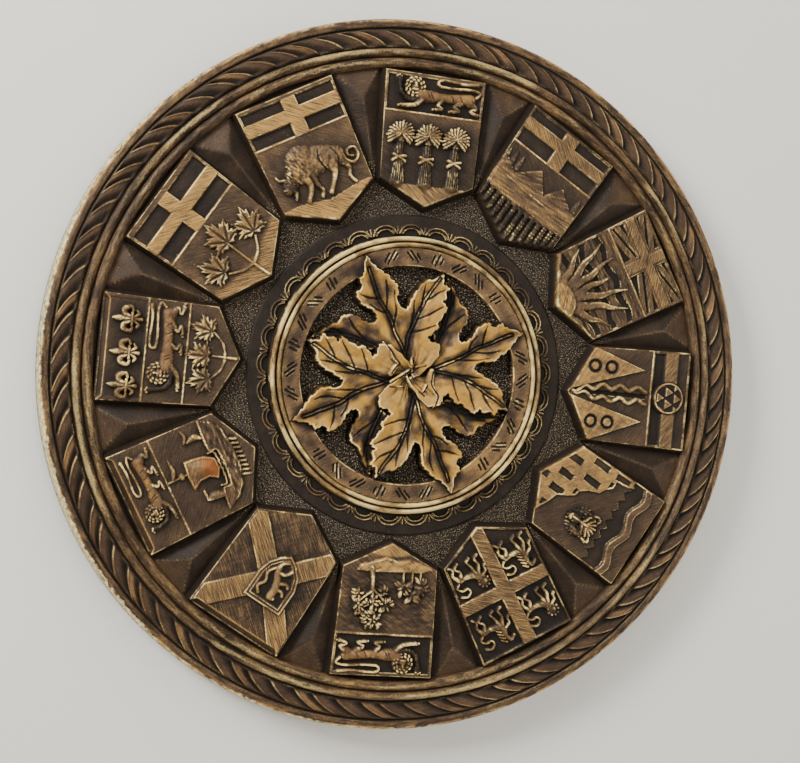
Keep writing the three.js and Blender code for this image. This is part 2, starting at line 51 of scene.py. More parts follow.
DEPTH = -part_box(NODE)[0].y / MM

# Heights above the back
BACK_PLATE = 1.5
FOOT = 13.2
GROUND = 14.5
COLLAR = 15.0
ROPE_BED = 14.7
BEAD_CREST = 18.0
RIM_TOP = 15.6
DIVIDER_TOP = 18.2
FACE = 18.8
BAND = 18.7
RING_CREST = 19.5
LEAF = 19.7
HIGHEST = DEPTH - 0.1

# Radii
ARRIS = OUTER - 2
ROPE_OUTER = 140.9
ROPE_INNER = 133.3
BEAD_OUTER = 132.9
BEAD_SPLIT = 129.2
BEAD_INNER = 125.0
GROOVE = 141.1
TOP_BAND = 141.3
EDGE_LINE = 144.3
CHIP_START = 144.4
WALL_START = 146.4
DIVIDER_HEAD = 113
FIELD_OUTER = 86
COLLAR_OUTER = 65.2
ARC_CENTRE = 59
ARC_FOOT = 57.9
RING_OUTER = 56.5
RING_SPLIT = 54.2
BAND_OUTER = 51.9
BAND_INNER = 44.4
BAND_MIDDLE = 48.3

# Repeats
SHIELDS = 12
ROPE_GROUPS = 30
ROPE_SHARES = (0.0, 0.38, 0.73)
SCALLOPS = 33
LEAVES = 4
BAND_CUTS = 6
BAND_CUT_PITCH = 9.7

# Points in each grid, and the stretches of radius that they cover
ROPE_COLUMNS = 16
ROPE_ROWS = 18
GROUND_COLUMNS = 696
GROUND_SPANS = ((64.6, 88, 34), (89, 110, 15), (110.6, BEAD_INNER + 0.4, 22))
SCALLOP_COLUMNS = 34
COLLAR_SPANS = ((51.7, 57.2, 18), (57.4, 62.2, 19), (62.9, 65.6, 4))
MEDALLION_POINTS = 304
SHIELD_COLUMNS = 114
SHIELD_ROWS = 138
BACK_COLUMNS = 180

# A shield's outline
TOP = 122.3
CORNER = 78.6
POINT = 68.6
TOP_HALF = 20.8
CORNER_HALF = 19.4
CHIEF = 105.4
SKIRT = np.array([0, 0.3, 1.1, 2.6])
WALL_DROP = np.array([0, 0.9, 2.9, FACE - FOOT])
BEVELLED = (8, 9, 10)

TURN = 2 * math.pi
ROPE_START = math.radians(4.7)
SCALLOP_LEAN = math.radians(4.7)
GRAIN_LEAN = math.radians(38)
RING_GRAIN = 130

# How the photograph sees the plaque: turned on the wall, with the rim's cream edge widest and palest on one
# side
PHOTO_TURN = math.radians(24.7)
PALE_SIDE = 250


def smooth(x):
    x = np.clip(x, 0, 1)
    return x * x * (3 - 2 * x)


def mix(a, b, share):
    return a + (b - a) * share


def ridge(away, width):
    """One on a line, fading to nothing within about two widths of it."""
    return np.exp(-(away / width) ** 2)


def turned(x, y, angle):
    """How far along and across a direction a place lies."""
    c, s = math.cos(angle), math.sin(angle)
    return x * c + y * s, y * c - x * s


def overlap(*distances):
    """The distance to what several outlines share."""
    return np.maximum.reduce(distances)


def soft_max(a, b, blend):
    gap = np.clip(blend - np.abs(a - b), 0, None)
    return np.maximum(a, b) + gap * gap / (4 * blend)


LATTICE = np.random.default_rng(11).uniform(-1, 1, (256, 256))


def noise(x, y, size, seed=0):
    """Smooth value noise between -1 and 1, with bumps about one size across."""
    x, y = x / size + seed * 17.31, y / size + seed * 9.73
    i, j = np.floor(x).astype(int), np.floor(y).astype(int)
    fx, fy = smooth(x - i), smooth(y - j)
    rows = [mix(LATTICE[i % 256, (j + k) % 256], LATTICE[(i + 1) % 256, (j + k) % 256], fx) for k in (0, 1)]
    return mix(rows[0], rows[1], fy)


def curve(points, steps=5):
    """A smooth path through points of (x, y, half width)."""
    p = np.array([points[0], *points, points[-1]], float)
    if len(points) < 3:
        return p[1:-1]
    path = []
    for a, b, c, d in zip(p, p[1:], p[2:], p[3:]):
        for t in np.arange(steps) / steps:
            bend = 2 * b + (c - a) * t + (2 * a - 5 * b + 4 * c - d) * t**2 + (3 * b - a - 3 * c + d) * t**3
            path.append(bend / 2)
    path.append(p[-1])
    path = np.array(path)
    path[:, 2] = np.maximum(path[:, 2], 0.15)
    return path


def beside(x, y, x0, y0, x1, y1):
    """How far along a straight piece each point lies, as a share, and how far from it across and up."""
    dx, dy = x1 - x0, y1 - y0
    t = np.clip(((x - x0) * dx + (y - y0) * dy) / (dx * dx + dy * dy + 1e-9), 0, 1)
    return t, x - x0 - dx * t, y - y0 - dy * t


def stroke(x, y, path):
    """Distance from a tapering path, as a share of its half width there."""
    best = np.full(x.shape, 1e3)
    for (x0, y0, w0), (x1, y1, w1) in zip(path[:-1], path[1:]):
        t, across, up = beside(x, y, x0, y0, x1, y1)
        np.minimum(best, np.hypot(across, up) / (w0 + (w1 - w0) * t), out=best)
    return best


def outline_distance(x, y, outline):
    """Distance to a closed outline, below zero inside."""
    best = np.full(x.shape, 1e6)
    inside = np.zeros(x.shape, bool)
    for (x0, y0), (x1, y1) in zip(outline, [*outline[1:], outline[0]]):
        _, across, up = beside(x, y, x0, y0, x1, y1)
        best = np.minimum(best, across ** 2 + up ** 2)
        if y1 != y0:
            inside ^= ((y0 > y) != (y1 > y)) & (x < x0 + (x1 - x0) * (y - y0) / (y1 - y0))
    return np.where(inside, -1, 1) * np.sqrt(best)


def box_distance(x, y, left, right, low, high):
    return overlap(left - x, x - right, low - y, y - high)


def blurred(values, reach, wrap):
    """A Gaussian blur over the grid; wrap joins the last column to the first."""
    span = int(math.ceil(reach * 2.5))
    weights = np.exp(-0.5 * (np.arange(-span, span + 1) / reach) ** 2)
    weights /= weights.sum()
    for axis in (0, 1):
        pad = [(0, 0), (0, 0)]
        pad[axis] = (span, span)
        wide = np.pad(values, pad, mode="wrap" if wrap and axis == 1 else "edge")
        size = values.shape[axis]
        values = sum(w * np.take(wide, range(k, k + size), axis) for k, w in enumerate(weights))
    return values


class Relief:
    """Heights and finish over a grid of points in one carving's own plane."""

    def __init__(self, x, y, height, tone):
        self.x, self.y = x, y
        self.h = np.zeros(x.shape) + height
        self.tone = np.zeros(x.shape) + tone
        self.grain, self.warm, self.gilt = (np.zeros(x.shape) for _ in range(3))
        self.chip, self.stipple, self.figure = (np.zeros(x.shape) for _ in range(3))

    def paint(self, cover, tone, grain=None, warm=None):
        self.tone = mix(self.tone, tone, cover)
        if grain is not None:
            self.grain = mix(self.grain, grain, cover)
        if warm is not None:
            self.warm = mix(self.warm, warm, cover)

    def raise_to(self, top, tone=0.6, blend=0.15, **finish):
        """Lifts the surface to a top that falls away outside its own place."""
        cover = smooth((top - self.h) / 0.3 + 0.5)
        self.h = soft_max(self.h, top, blend)
        self.paint(cover, tone, **finish)
        return cover

    def slab(self, distance, height, bevel=3.0, **finish):
        """A flat top inside an outline, with steep sides."""
        return self.raise_to(np.minimum(height, height - (distance + 0.1) * bevel), **finish)

    def sink(self, distance, depth, tone, grain=0.0):
        """A flat bed below the surface inside an outline."""
        bed = self.h - depth + np.clip((distance + 0.35) * 3.0, 0, None)
        cover = smooth((self.h - bed) / 0.3)
        self.h = -soft_max(-self.h, -bed, 0.15)
        self.paint(cover, tone, grain)

    def carve(self, away, rise, base, finish):
        """Raises a rounded form over its distance in shares of its own size."""
        finish = {"tone": 0.6, "grain": 0.0, **finish}
        fall = finish.pop("fall", 2.3)
        cover = self.raise_to(base + rise * (1 - away ** fall), **finish)
        self.figure = np.maximum(self.figure, cover)
        return cover

    def limb(self, points, rise, base=FACE, **finish):
        """A rounded limb along a tapering path."""
        return self.carve(stroke(self.x, self.y, curve(points)), rise, base, finish)

    def limbs(self, paths, rise, base=FACE, **finish):
        for points in paths:
            self.limb(points, rise, base, **finish)

    def dome(self, x, y, wide, high, rise, base=FACE, lean=0.0, **finish):
        """A rounded boss, oval and leaning where asked."""
        across, up = turned(self.x - x, self.y - y, -math.radians(lean))
        return self.carve(np.hypot(across / wide, up / high), rise, base, finish)

    def cut(self, points, depth, tone=0.08):
        """A groove along a tapering path."""
        cover = np.clip(1 - stroke(self.x, self.y, curve(points)), 0, 1) ** 0.8
        self.h -= depth * cover
        self.paint(np.clip(cover * 1.4, 0, 1), tone)

    def cuts(self, paths, depth, tone=0.08):
        for points in paths:
            self.cut(points, depth, tone)

    def hatch(self, cover, angle, pitch, depth, seed=0, reach=5.0):
        """Uneven tool marks along an angle, only where the cover says."""
        along, over = turned(self.x, self.y, math.radians(angle))
        along = along / reach * pitch
        marks = noise(along, over, pitch * 0.55, seed) + 0.5 * noise(along, over, pitch * 0.3, seed + 3)
        self.h += depth * cover * marks
        self.tone += 0.3 * cover * np.clip(marks, -1, 1) * min(1, depth * 5)


def store_layers(mesh, layers):
    """Keeps the finish at each point of a mesh, where the material reads it."""
    for name, values in layers.items():
        kind, field = ("FLOAT_VECTOR", "vector") if values.shape[1] == 3 else ("FLOAT", "value")
        mesh.attributes.new(name, kind, "POINT").data.foreach_set(field, values.ravel())


def closed_mesh(name, x, y, h, layers, wrap):
    """A closed piece: a relief over a grid of points, upright sides and a flat underside."""
    rows, cols = x.shape
    count = rows * cols
    index = np.arange(count).reshape(rows, cols)
    top = np.stack([x, -h, y], -1).reshape(-1, 3)
    right = np.roll(index, -1, 1) if wrap else index[:, 1:]
    here = index if wrap else index[:, :-1]
    quads = [np.stack([here[:-1], right[:-1], right[1:], here[1:]], -1).reshape(-1, 4)]
    if wrap:
        loops = [index[0], index[-1][::-1]]
    else:
        loops = [np.concatenate([index[0, :-1], index[:-1, -1], index[-1, :0:-1], index[:0:-1, 0]])]
    edge = np.concatenate(loops)
    under = count + np.arange(len(edge))
    floor = top[edge].copy()
    floor[:, 1] = -BACK_PLATE
    start = 0
    for loop in loops:
        below = under[start:start + len(loop)]
        start += len(loop)
        quads.append(np.stack([np.roll(loop, -1), loop, below, np.roll(below, -1)], -1))
    polygons = []
    if wrap:
        inner, outer = under[:cols], under[cols:][::-1]
        quads.append(np.stack([np.roll(inner, -1), inner, outer, np.roll(outer, -1)], -1))
    else:
        polygons = [under[::-1]]
    quads = np.concatenate(quads)
    points = np.concatenate([top, floor]) * MM
    mesh = bpy.data.meshes.new(name)
    mesh.vertices.add(len(points))
    mesh.vertices.foreach_set("co", points.ravel())
    corners = np.concatenate([quads.ravel(), *polygons])
    sizes = np.concatenate([np.full(len(quads), 4), [len(p) for p in polygons]]).astype(np.int32)
    starts = np.concatenate([[0], np.cumsum(sizes)[:-1]])
    mesh.loops.add(len(corners))
    mesh.loops.foreach_set("vertex_index", corners.astype(np.int32))
    mesh.polygons.add(len(sizes))
    mesh.polygons.foreach_set("loop_start", starts.astype(np.int32))
    on_relief = (rows - 1) * (cols if wrap else cols - 1)
    mesh.polygons.foreach_set("use_smooth", np.arange(len(sizes)) < on_relief)
    mesh.update(calc_edges=True)
    on_top = {name: values.reshape(count, -1) for name, values in layers.items()}
    store_layers(mesh, {name: np.concatenate([flat, flat[edge]]) for name, flat in on_top.items()})
    return mesh


PAINTED = ("tone", "grain", "warm", "gilt", "chip", "stipple")


def finish_layers(relief, place, wrap, floor=0.0, rub=1.0, lift=0.0):
    """How the finish wears: rubbed bright on edges, dark in hollows; the tone also takes painted shade and
    highlight, lighter on broad raised parts and darker in broad hollows.
    """
    near = np.maximum(relief.h, floor)
    near = near - blurred(near, 1.1, wrap)
    far = relief.h - blurred(relief.h, 6.0, wrap)
    px, py = place[..., 0] / (6 if wrap else 1), place[..., 1]
    kept = 0.35 + 0.65 * smooth(0.5 + 0.9 * noise(px, py, 5.0, 90) + 0.5 * noise(px, py, 1.3, 91))
    kept *= 0.15 + 0.85 * smooth(relief.tone * 2.4)
    layers = {name: getattr(relief, name) for name in PAINTED}
    # Painted shade and highlight: the tone rises on broad raised parts and falls in broad hollows, scaled by
    # lift.
    layers["tone"] = relief.tone + lift * np.clip(far / 0.45, -1, 1)
    layers["wear"] = np.clip((near - 0.04) / 0.13, 0, 1.2) * rub * kept
    layers["pit"] = np.clip(-near / 0.16, 0, 1) * 0.5 + np.clip(-far / 0.8, 0, 1) * 0.6
    layers["place"] = place
    return layers


def add_piece(name, mesh, material):
    piece = bpy.data.objects.new(name, mesh)
    bpy.context.scene.collection.objects.link(piece)
    mesh.materials.append(material)
    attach(piece, "root")
    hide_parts(NODE)
    return piece


# Finishes


def colour(red, green, blue):
    """A linear colour from its 0 to 255 screen values."""
    def linear(value):
        value /= 255
        return value / 12.92 if value <= 0.04045 else ((value + 0.055) / 1.055) ** 2.4
    return (linear(red), linear(green), linear(blue), 1.0)


class Tree:
    """A short way to write a material's nodes."""

    def __init__(self, name):
        self.material = bpy.data.materials.new(name)
        self.material.use_nodes = True
        self.nodes = self.material.node_tree.nodes
        self.links = self.material.node_tree.links
        self.nodes.clear()

    def add(self, kind, inputs=None, **settings):
        node = self.nodes.new("ShaderNode" + kind)
        for key, value in settings.items():
            setattr(node, key, value)
        for key, value in (inputs or {}).items():
            if isinstance(value, bpy.types.NodeSocket):
                self.links.new(value, node.inputs[key])
            else:
                node.inputs[key].default_value = value
        return node

    def layers(self, *names, output="Fac"):
        return [self.add("Attribute", attribute_name=name).outputs[output] for name in names]

    def math(self, operation, *values, clamp=False):
        node = self.add("Math", dict(enumerate(values)), operation=operation, use_clamp=clamp)
        return node.outputs[0]

    def times(self, *values, clamp=False):
        return self.math("MULTIPLY", *values, clamp=clamp)

    def scale_add(self, value, scale, start, clamp=False):
        return self.math("MULTIPLY_ADD", value, scale, start, clamp=clamp)

    def swing(self, share, amount, start, clamp=False):
        """Adds a noise to a value, swinging both ways about its middle."""
        return self.scale_add(self.math("SUBTRACT", share, 0.5), amount, start, clamp)

    def blend(self, share, first, second):
        colours = {0: share, 6: first, 7: second}
        return self.add("Mix", colours, data_type="RGBA", clamp_factor=True).outputs[2]

    def scaled(self, vector, scale):
        return self.add("Mapping", {"Vector": vector, "Scale": scale}).outputs[0]

    def noise(self, vector, scale, detail=4, rough=0.55):
        node = self.add("TexNoise", {"Vector": vector, "Scale": scale, "Detail": detail, "Roughness": rough})
        return node.outputs["Fac"]

    def ramp(self, share, stops):
        node = self.add("ValToRGB", {"Fac": share})
        bands = node.color_ramp.elements
        while len(bands) < len(stops):
            bands.new(0.5)
        for band, (at, tint) in zip(bands, stops):
            band.position = at
            band.color = tint
        return node.outputs[0]


PATINA = colour(24, 17, 11)
STAIN_STOPS = [
    (0.0, PATINA), (0.22, colour(43, 32, 21)), (0.45, colour(72, 54, 37)),
    (0.7, colour(114, 88, 56)), (1.0, colour(182, 139, 72)),
]
# The pale grains' colour, bright enough to be painted glints on them as well
PEBBLE_AND_GLINT = colour(206, 182, 142)
RUBBED = colour(255, 224, 148)
CREAM = colour(240, 226, 168)
COPPER = colour(152, 84, 34)
GILT = colour(190, 140, 48)


SPECULAR = 0.2
BUMP_STRENGTH = 0.5
BUMP_DEPTH = 0.3 * MM


def stained_wood():
    """Dark stain over moulded wood: rubbed golden on the high parts, nearly black in the hollows, with
    painted shade and highlight carried in its tone.
    """
    tree = Tree("stained_wood")
    swing, times, scale_add = tree.swing, tree.times, tree.scale_add
    place, = tree.layers("place", output="Vector")
    tone, wear, pit, grain, warm, chip, gilt, stipple = tree.layers(
        "tone", "wear", "pit", "grain", "warm", "chip", "gilt", "stipple")

    # Noises, from broad blotches to fine hairs along the grain
    blotch = tree.noise(place, 0.09, 3)
    speck = tree.noise(place, 1.5, 4, 0.7)
    fine = tree.noise(place, 3.4, 3, 0.7)
    streak = tree.noise(tree.scaled(place, (0.16, 1.25, 1.0)), 1.5, 5, 0.65)
    hair = tree.noise(tree.scaled(place, (0.1, 2.2, 1.0)), 1.2, 3, 0.6)

    # The stain itself, its tone holding painted shade and highlight too, with copper and gilt laid over it
    # and dark patina in the hollows
    shade = swing(streak, 0.5, swing(speck, 0.6, swing(blotch, 0.5, tone)))
    shade = scale_add(swing(hair, 2.2, 0.0), grain, shade, clamp=True)
    base = tree.ramp(shade, STAIN_STOPS)
    base = tree.blend(times(warm, 0.75), base, COPPER)
    base = tree.blend(times(gilt, times(shade, 0.75)), base, GILT)
    hollow = times(swing(fine, 0.8, pit), 0.9, clamp=True)
    base = tree.blend(hollow, base, PATINA)

    # Pale grains of the stippled ground, their colour also a painted glint on each grain
    spread = {"Vector": place, "Scale": 1.3, "Randomness": 1.0}
    cells = tree.add("TexVoronoi", spread, voronoi_dimensions="2D")
    pebble = times(scale_add(cells.outputs["Distance"], -3.0, 1.4, clamp=True), stipple)
    base = tree.blend(times(pebble, swing(speck, 7.0, 0.1, clamp=True)), base, PEBBLE_AND_GLINT)

    # Rubbed edges and cream flakes
    rub = swing(speck, 2.2, tree.math("SUBTRACT", wear, 0.22), clamp=True)
    rub = times(times(rub, wear), scale_add(tone, 0.5, 0.5), clamp=True)
    base = tree.blend(rub, base, RUBBED)
    flake = swing(tree.noise(place, 0.55, 5, 0.6), 4.0, tree.math("SUBTRACT", chip, 0.78), clamp=True)
    base = tree.blend(flake, base, CREAM)

    # Sheen and fine bumps
    rough = scale_add(tone, -0.16, swing(speck, 0.5, scale_add(rub, -0.1, 0.5)))
    rough = scale_add(hollow, 0.25, rough, clamp=True)
    relief = scale_add(fine, 0.5, scale_add(hair, 0.8, speck))
    relief = scale_add(pebble, 2.2, relief)
    bump = tree.add("Bump", {"Height": relief, "Strength": BUMP_STRENGTH, "Distance": BUMP_DEPTH})
    surface = tree.add("BsdfPrincipled", {
        "Base Color": base, "Roughness": rough, "Normal": bump.outputs[0], "Specular IOR Level": SPECULAR,
    })
    tree.add("OutputMaterial", {"Surface": surface.outputs[0]})
    return tree.material


# The turned parts


def ring_place(radius, angle):
    """Grain coordinates that run around the plaque."""
    return np.stack([angle * RING_GRAIN, radius + 0 * angle, 0 * angle], -1)


def around(radius, angle):
    return radius * np.sin(angle), radius * np.cos(angle)


def ring_grid(columns, radii):
    """Points on circles around the middle: angle, radius, x and y."""
    angle, radius = np.meshgrid(np.arange(columns) * TURN / columns, radii)
    return angle, radius, *around(radius, angle)


def stretches(spans):
    """Evenly spaced values over each (start, end, count)."""
    return np.concatenate([np.linspace(*span) for span in spans])


RIM_PROFILE = [
    (124.6, 14.3), (124.8, 15.5), (BEAD_INNER, 16.3), (125.3, 16.8), (125.8, 17.3), (126.4, 17.7),
    (127.0, 17.85), (127.6, 17.7), (128.2, 17.3), (128.7, 16.7), (129.0, 16.1), (BEAD_SPLIT, 15.9),
    (129.4, 16.2), (129.8, 17.0), (130.3, 17.6), (130.9, 17.95), (131.5, BEAD_CREST), (132.1, 17.6),
    (132.6, 16.8), (BEAD_OUTER, 15.7), (133.15, 15.0),
]
EDGE_PROFILE = [
    (141.15, 14.5), (141.4, 15.0), (141.7, 15.5), (142.2, 15.65), (142.9, RIM_TOP + 0.1),
    (143.6, RIM_TOP), (144.2, 15.4), (144.6, 15.1), (ARRIS, 14.5), (145.3, 13.4), (145.7, 11.2),
    (146.1, 8.8), (146.5, 6.2), (146.8, 3.8), (OUTER, BACK_PLATE + 0.1),
]


def rope_lead(radius):
    """How far a rope furrow runs round at a radius, in radians: nearly along the rim at the outside."""
    share = np.clip((radius - ROPE_INNER) / (ROPE_OUTER - ROPE_INNER), 0, 1)
    return np.radians(1.9 - 5.3 * share ** 1.4 * (0.8 + 0.2 * share))


def rim():
    """Two beads, the rope, the top band and the pale outer wall."""
    strands = ROPE_GROUPS * len(ROPE_SHARES)
    step = (np.arange(ROPE_COLUMNS) + 0.5) / ROPE_COLUMNS
    step = mix(step, smooth(step), 0.5)
    bounds = [*ROPE_SHARES, 1.0]
    group = np.concatenate([mix(a, b, step) for a, b in zip(bounds, bounds[1:])])
    share = np.tile(step, strands)[None, :]
    strand = np.repeat(np.arange(strands), ROPE_COLUMNS)[None, :]
    column = np.repeat(np.arange(ROPE_GROUPS), len(group)) + np.tile(group, ROPE_GROUPS)
    column = column * TURN / ROPE_GROUPS
    bed = [(r, ROPE_BED) for r in np.linspace(ROPE_INNER, ROPE_OUTER, ROPE_ROWS)]
    radii, heights = np.array(RIM_PROFILE + bed + EDGE_PROFILE).T
    steps = np.cumsum(np.hypot(np.diff(radii), np.diff(heights)))
    travel = (radii[0] + np.concatenate([[0], steps]))[:, None]
    radius = np.repeat(radii[:, None], len(column), 1)
    angle = column[None, :] + rope_lead(radius) - ROPE_START
    x, y = around(radius, angle)
    relief = Relief(x, y, heights[:, None], 0.4)
    middle = (radius - ROPE_INNER) / (ROPE_OUTER - ROPE_INNER)
    rope = (middle >= 0) & (middle <= 1)
    arch = np.sqrt(np.clip(1 - (2 * middle - 1) ** 2, 0, 1))
    reach = smooth((middle - 0.04) / 0.2) * smooth((0.98 - middle) / 0.2)
    swell = smooth(share / 0.55) * (1 - smooth((share - 0.9) / 0.1))
    uneven = 0.85 + 0.3 * noise(strand * 3.7 + 0 * radius, radius / 9, 1.0, 3)
    rise = 0.3 + arch * (1.35 + 0.25 * noise(x, y, 6, 4)) - 1.3 * reach * (1 - swell) * uneven
    rise += 0.46 * reach * ridge(share - 0.86, 0.07)
    relief.h = np.where(rope, relief.h + rise, relief.h)
    broad = np.array([0.35, 0.35, 1.0])[strand % 3]
    petal = smooth((share - 0.2) / 0.3) * (1 - smooth((share - 0.8) / 0.15)) * reach
    petal = petal * broad * (0.7 + 0.5 * noise(x, y, 7, 6))
    relief.paint(rope * 1.0, 0.27)
    relief.paint((rope * petal).clip(0, 1), 0.72, warm=0.1)
    relief.paint(rope * (reach * (1 - smooth(share / 0.2))), 0.0)
    relief.paint(rope * (0.6 * reach * ridge(share - 0.88, 0.08)), 0.85)
    beads = (radius > BEAD_INNER) & (radius < BEAD_OUTER)
    run = noise(angle * 30, radius * 2.2, 1.0, 7) + 0.6 * noise(angle * 110, radius * 5, 1.0, 8)
    relief.paint(beads * 1.0, 0.5 + 0.2 * run + 0.15 * noise(x, y, 14, 9))
    relief.paint(smooth((radius - TOP_BAND) / 0.5), 0.46 + 0.2 * run + 0.12 * noise(x, y, 20, 10))
    relief.paint(ridge(radius - GROOVE, 0.35), 0.0)
    line = ridge(radius - EDGE_LINE, 0.5) * smooth(0.7 + 0.9 * run)
    relief.paint(line, 1.1)
    # The cream edge reaches further in and shows paler towards one side of the rim.
    bearing = np.degrees(angle - PHOTO_TURN)
    left = 0.5 + 0.5 * np.cos(np.radians(bearing - PALE_SIDE))
    along = angle * RING_GRAIN
    ragged = 0.45 * noise(along, travel, 5, 5) + 0.35 * noise(along, travel, 1.6, 6)
    arris = smooth((radius - CHIP_START + 1.2 * left ** 2 + ragged) / 0.7)
    relief.chip = arris * (0.3 + 0.9 * smooth(left * 1.6 - 0.25))
    relief.chip *= 1 - 0.5 * smooth((radius - WALL_START) / 0.5)
    relief.chip = np.maximum(relief.chip, 0.62 * line)
    relief.h += 0.04 * noise(x, y, 1.3, 8) + 0.04 * run * beads
    relief.h[-3:] = heights[-3:, None]
    return relief, ring_place(travel, angle)


def ground():
    """The sunk stippled ground and the faceted bosses between the shields."""
    angle, radius, x, y = ring_grid(GROUND_COLUMNS, stretches(GROUND_SPANS))
    relief = Relief(x, y, GROUND, 0.05)
    pitch = TURN / SHIELDS
    turn = (angle % pitch) - pitch / 2
    over, along = radius * np.sin(turn), radius * np.cos(turn)
    sides = DIVIDER_TOP + (along - DIVIDER_HEAD) * 0.097 - np.abs(over) * 0.47
    slope = DIVIDER_TOP - (along - DIVIDER_HEAD) * 0.26
    relief.raise_to(np.minimum(sides, slope), 0.22, blend=0.08)
    facet = smooth((sides - slope) / 0.15 + 0.5) * smooth((along - 112) / 2)
    relief.paint(facet, 0.4)
    crease = ridge(sides - slope, 0.1) * smooth((along - DIVIDER_HEAD) / 2)
    relief.paint(crease * 0.7, 0.62)
    relief.paint(ridge(over, 0.35) * smooth((along - 88) / 8) * (1 - facet) * 0.6, 0.42)
    field = 1 - smooth((radius - FIELD_OUTER) / 5)
    stipple = noise(x, y, 1.0, 1) + 0.8 * noise(x, y, 1.9, 2)
    relief.h += field * 0.13 * stipple + 0.05 * noise(x, y, 2.2, 4)
    relief.paint(field * smooth(stipple) * 0.5, 0.16)
    relief.stipple[:] = field
    return relief, ring_place(radius, angle)


def collar():
    """The smooth dark collar with its chain of double arcs, and the double golden ring."""
    angle, radius, x, y = ring_grid(SCALLOPS * SCALLOP_COLUMNS, stretches(COLLAR_SPANS))
    relief = Relief(x, y, COLLAR, 0.1)
    pitch = TURN / SCALLOPS
    over = (((angle - SCALLOP_LEAN + pitch / 2) % pitch) - pitch / 2) * ARC_CENTRE
    arcs = Relief(over, radius, COLLAR, 0.12)
    arcs.paint(smooth((61.0 - radius) / 0.4), 0.03)
    arcs.h -= 0.4 * smooth((57.4 + 2.4 * np.clip(1 - (over / 4.6) ** 2, 0, 1) - radius) / 0.4)
    shares = np.linspace(-1, 1, 9)
    for rise, half, crown, wide in ((0.9, 5.2, 61.4, 0.3), (0.55, 3.7, 59.9, 0.24)):
        arc = [(half * s, ARC_FOOT + (crown - ARC_FOOT) * (1 - abs(s) ** 2.6), wide) for s in shares]
        arcs.limb(arc, rise, COLLAR, tone=0.5)
    for side in (-1, 1):
        for foot, head, top in ((5.3, 5.35, 60.8), (4.9, 4.0, 60.6), (4.6, 3.1, 59.3)):
            arcs.limb([(side * foot, 58.0, 0.24), (side * head, top, 0.22)], 0.55, COLLAR, tone=0.42)
    relief.h, relief.tone = arcs.h, arcs.tone
    for low, high in ((RING_SPLIT + 0.1, RING_OUTER), (BAND_OUTER, RING_SPLIT - 0.1)):
        away = np.abs(radius - (low + high) / 2) / ((high - low) / 2)
        relief.raise_to(RING_CREST + 0.25 - 1.9 * away**3 - 0.35 * away, 0.66, blend=0.08)
        relief.paint(smooth((away - 0.75) / 0.2) * (away < 1.1), 0.1)
    relief.h = np.where(radius < BAND_OUTER + 0.1, np.minimum(relief.h, 17.4), relief.h)
    run = noise(angle * 40, radius * 4, 1.0, 9)
    relief.h += 0.04 * noise(x, y, 1.2, 6)
    relief.tone += (0.22 * run + 0.15 * noise(x, y, 9, 11)) * (radius < 57)
    relief.h -= 0.5 * ridge(radius - COLLAR_OUTER, 0.3)
    return relief, ring_place(radius, angle)


# The medallion's leaves


LEAF_RIGHT_EDGE = [
    (4.0, 51.3), (5.6, 46.6), (6.8, 44.1), (8.7, 40.7), (9.0, 37.9), (10.1, 35.4), (9.6, 32.9), (7.8, 29.1),
    (7.8, 26.9), (9.3, 25.2), (11.5, 26.6), (14.6, 29.1), (17.8, 31.0), (21.5, 32.3), (25.3, 31.3),
    (30.4, 31.6), (29.3, 29.1), (28.4, 27.6), (30.3, 25.4), (27.8, 24.1), (27.1, 21.9), (24.6, 21.0),
    (25.9, 18.5), (22.1, 16.0), (19.0, 14.4), (19.0, 12.9), (15.9, 11.6), (12.8, 11.0), (14.0, 8.5),
    (16.5, 6.6), (15.0, 2.0), (4.0, -2.0),
]
LEAF_LEFT_EDGE = [
    (-4.0, -1.0), (-7.9, 16.0), (-12.3, 16.0), (-17.3, 19.8), (-21.0, 24.1), (-22.9, 25.4), (-26.0, 27.9),
    (-30.2, 31.2), (-25.4, 31.6), (-21.0, 31.9), (-17.3, 31.9), (-15.4, 33.2), (-12.3, 32.9), (-9.8, 31.0),
    (-8.2, 27.9), (-6.6, 26.0), (-4.8, 25.4), (-3.2, 26.0), (-2.9, 28.5), (-3.8, 31.0), (-6.0, 33.5),
    (-6.6, 36.6), (-6.6, 39.8), (-4.1, 40.4), (-2.9, 41.6), (-3.2, 44.8), (-1.0, 44.8), (0.9, 46.6),
]
LEAF_RIBS = [
    [(1.0, 6.0), (2.4, 22.0), (1.5, 32.0), (3.2, 46.0)],
    [(1.5, 9.0), (12.0, 20.5), (20.0, 26.0), (28.0, 30.4)],
    [(-1.5, 9.0), (-14.0, 23.0), (-22.0, 28.5), (-28.0, 30.6)],
]
LEAF_VEINS = [
    [(2.0, 20.0), (6.0, 27.0), (8.2, 33.0)], [(1.6, 27.0), (5.8, 34.0), (7.0, 39.0)],
    [(1.8, 33.0), (-2.6, 36.0), (-5.2, 38.6)], [(2.4, 26.0), (-1.0, 29.0), (-3.2, 33.0)],
    [(7.0, 15.5), (13.0, 14.4), (18.0, 14.0)], [(11.0, 19.5), (18.0, 19.2), (24.4, 19.2)],
    [(14.0, 21.8), (18.0, 26.6), (21.0, 31.0)], [(18.0, 24.6), (23.0, 24.8), (28.0, 25.4)],
    [(8.0, 17.0), (11.0, 22.0), (14.0, 27.0)], [(-10.0, 19.5), (-12.0, 25.0), (-13.0, 31.0)],
    [(-13.0, 22.0), (-16.0, 21.6), (-18.0, 22.0)], [(-17.0, 25.2), (-19.0, 28.4), (-22.0, 31.0)],
]


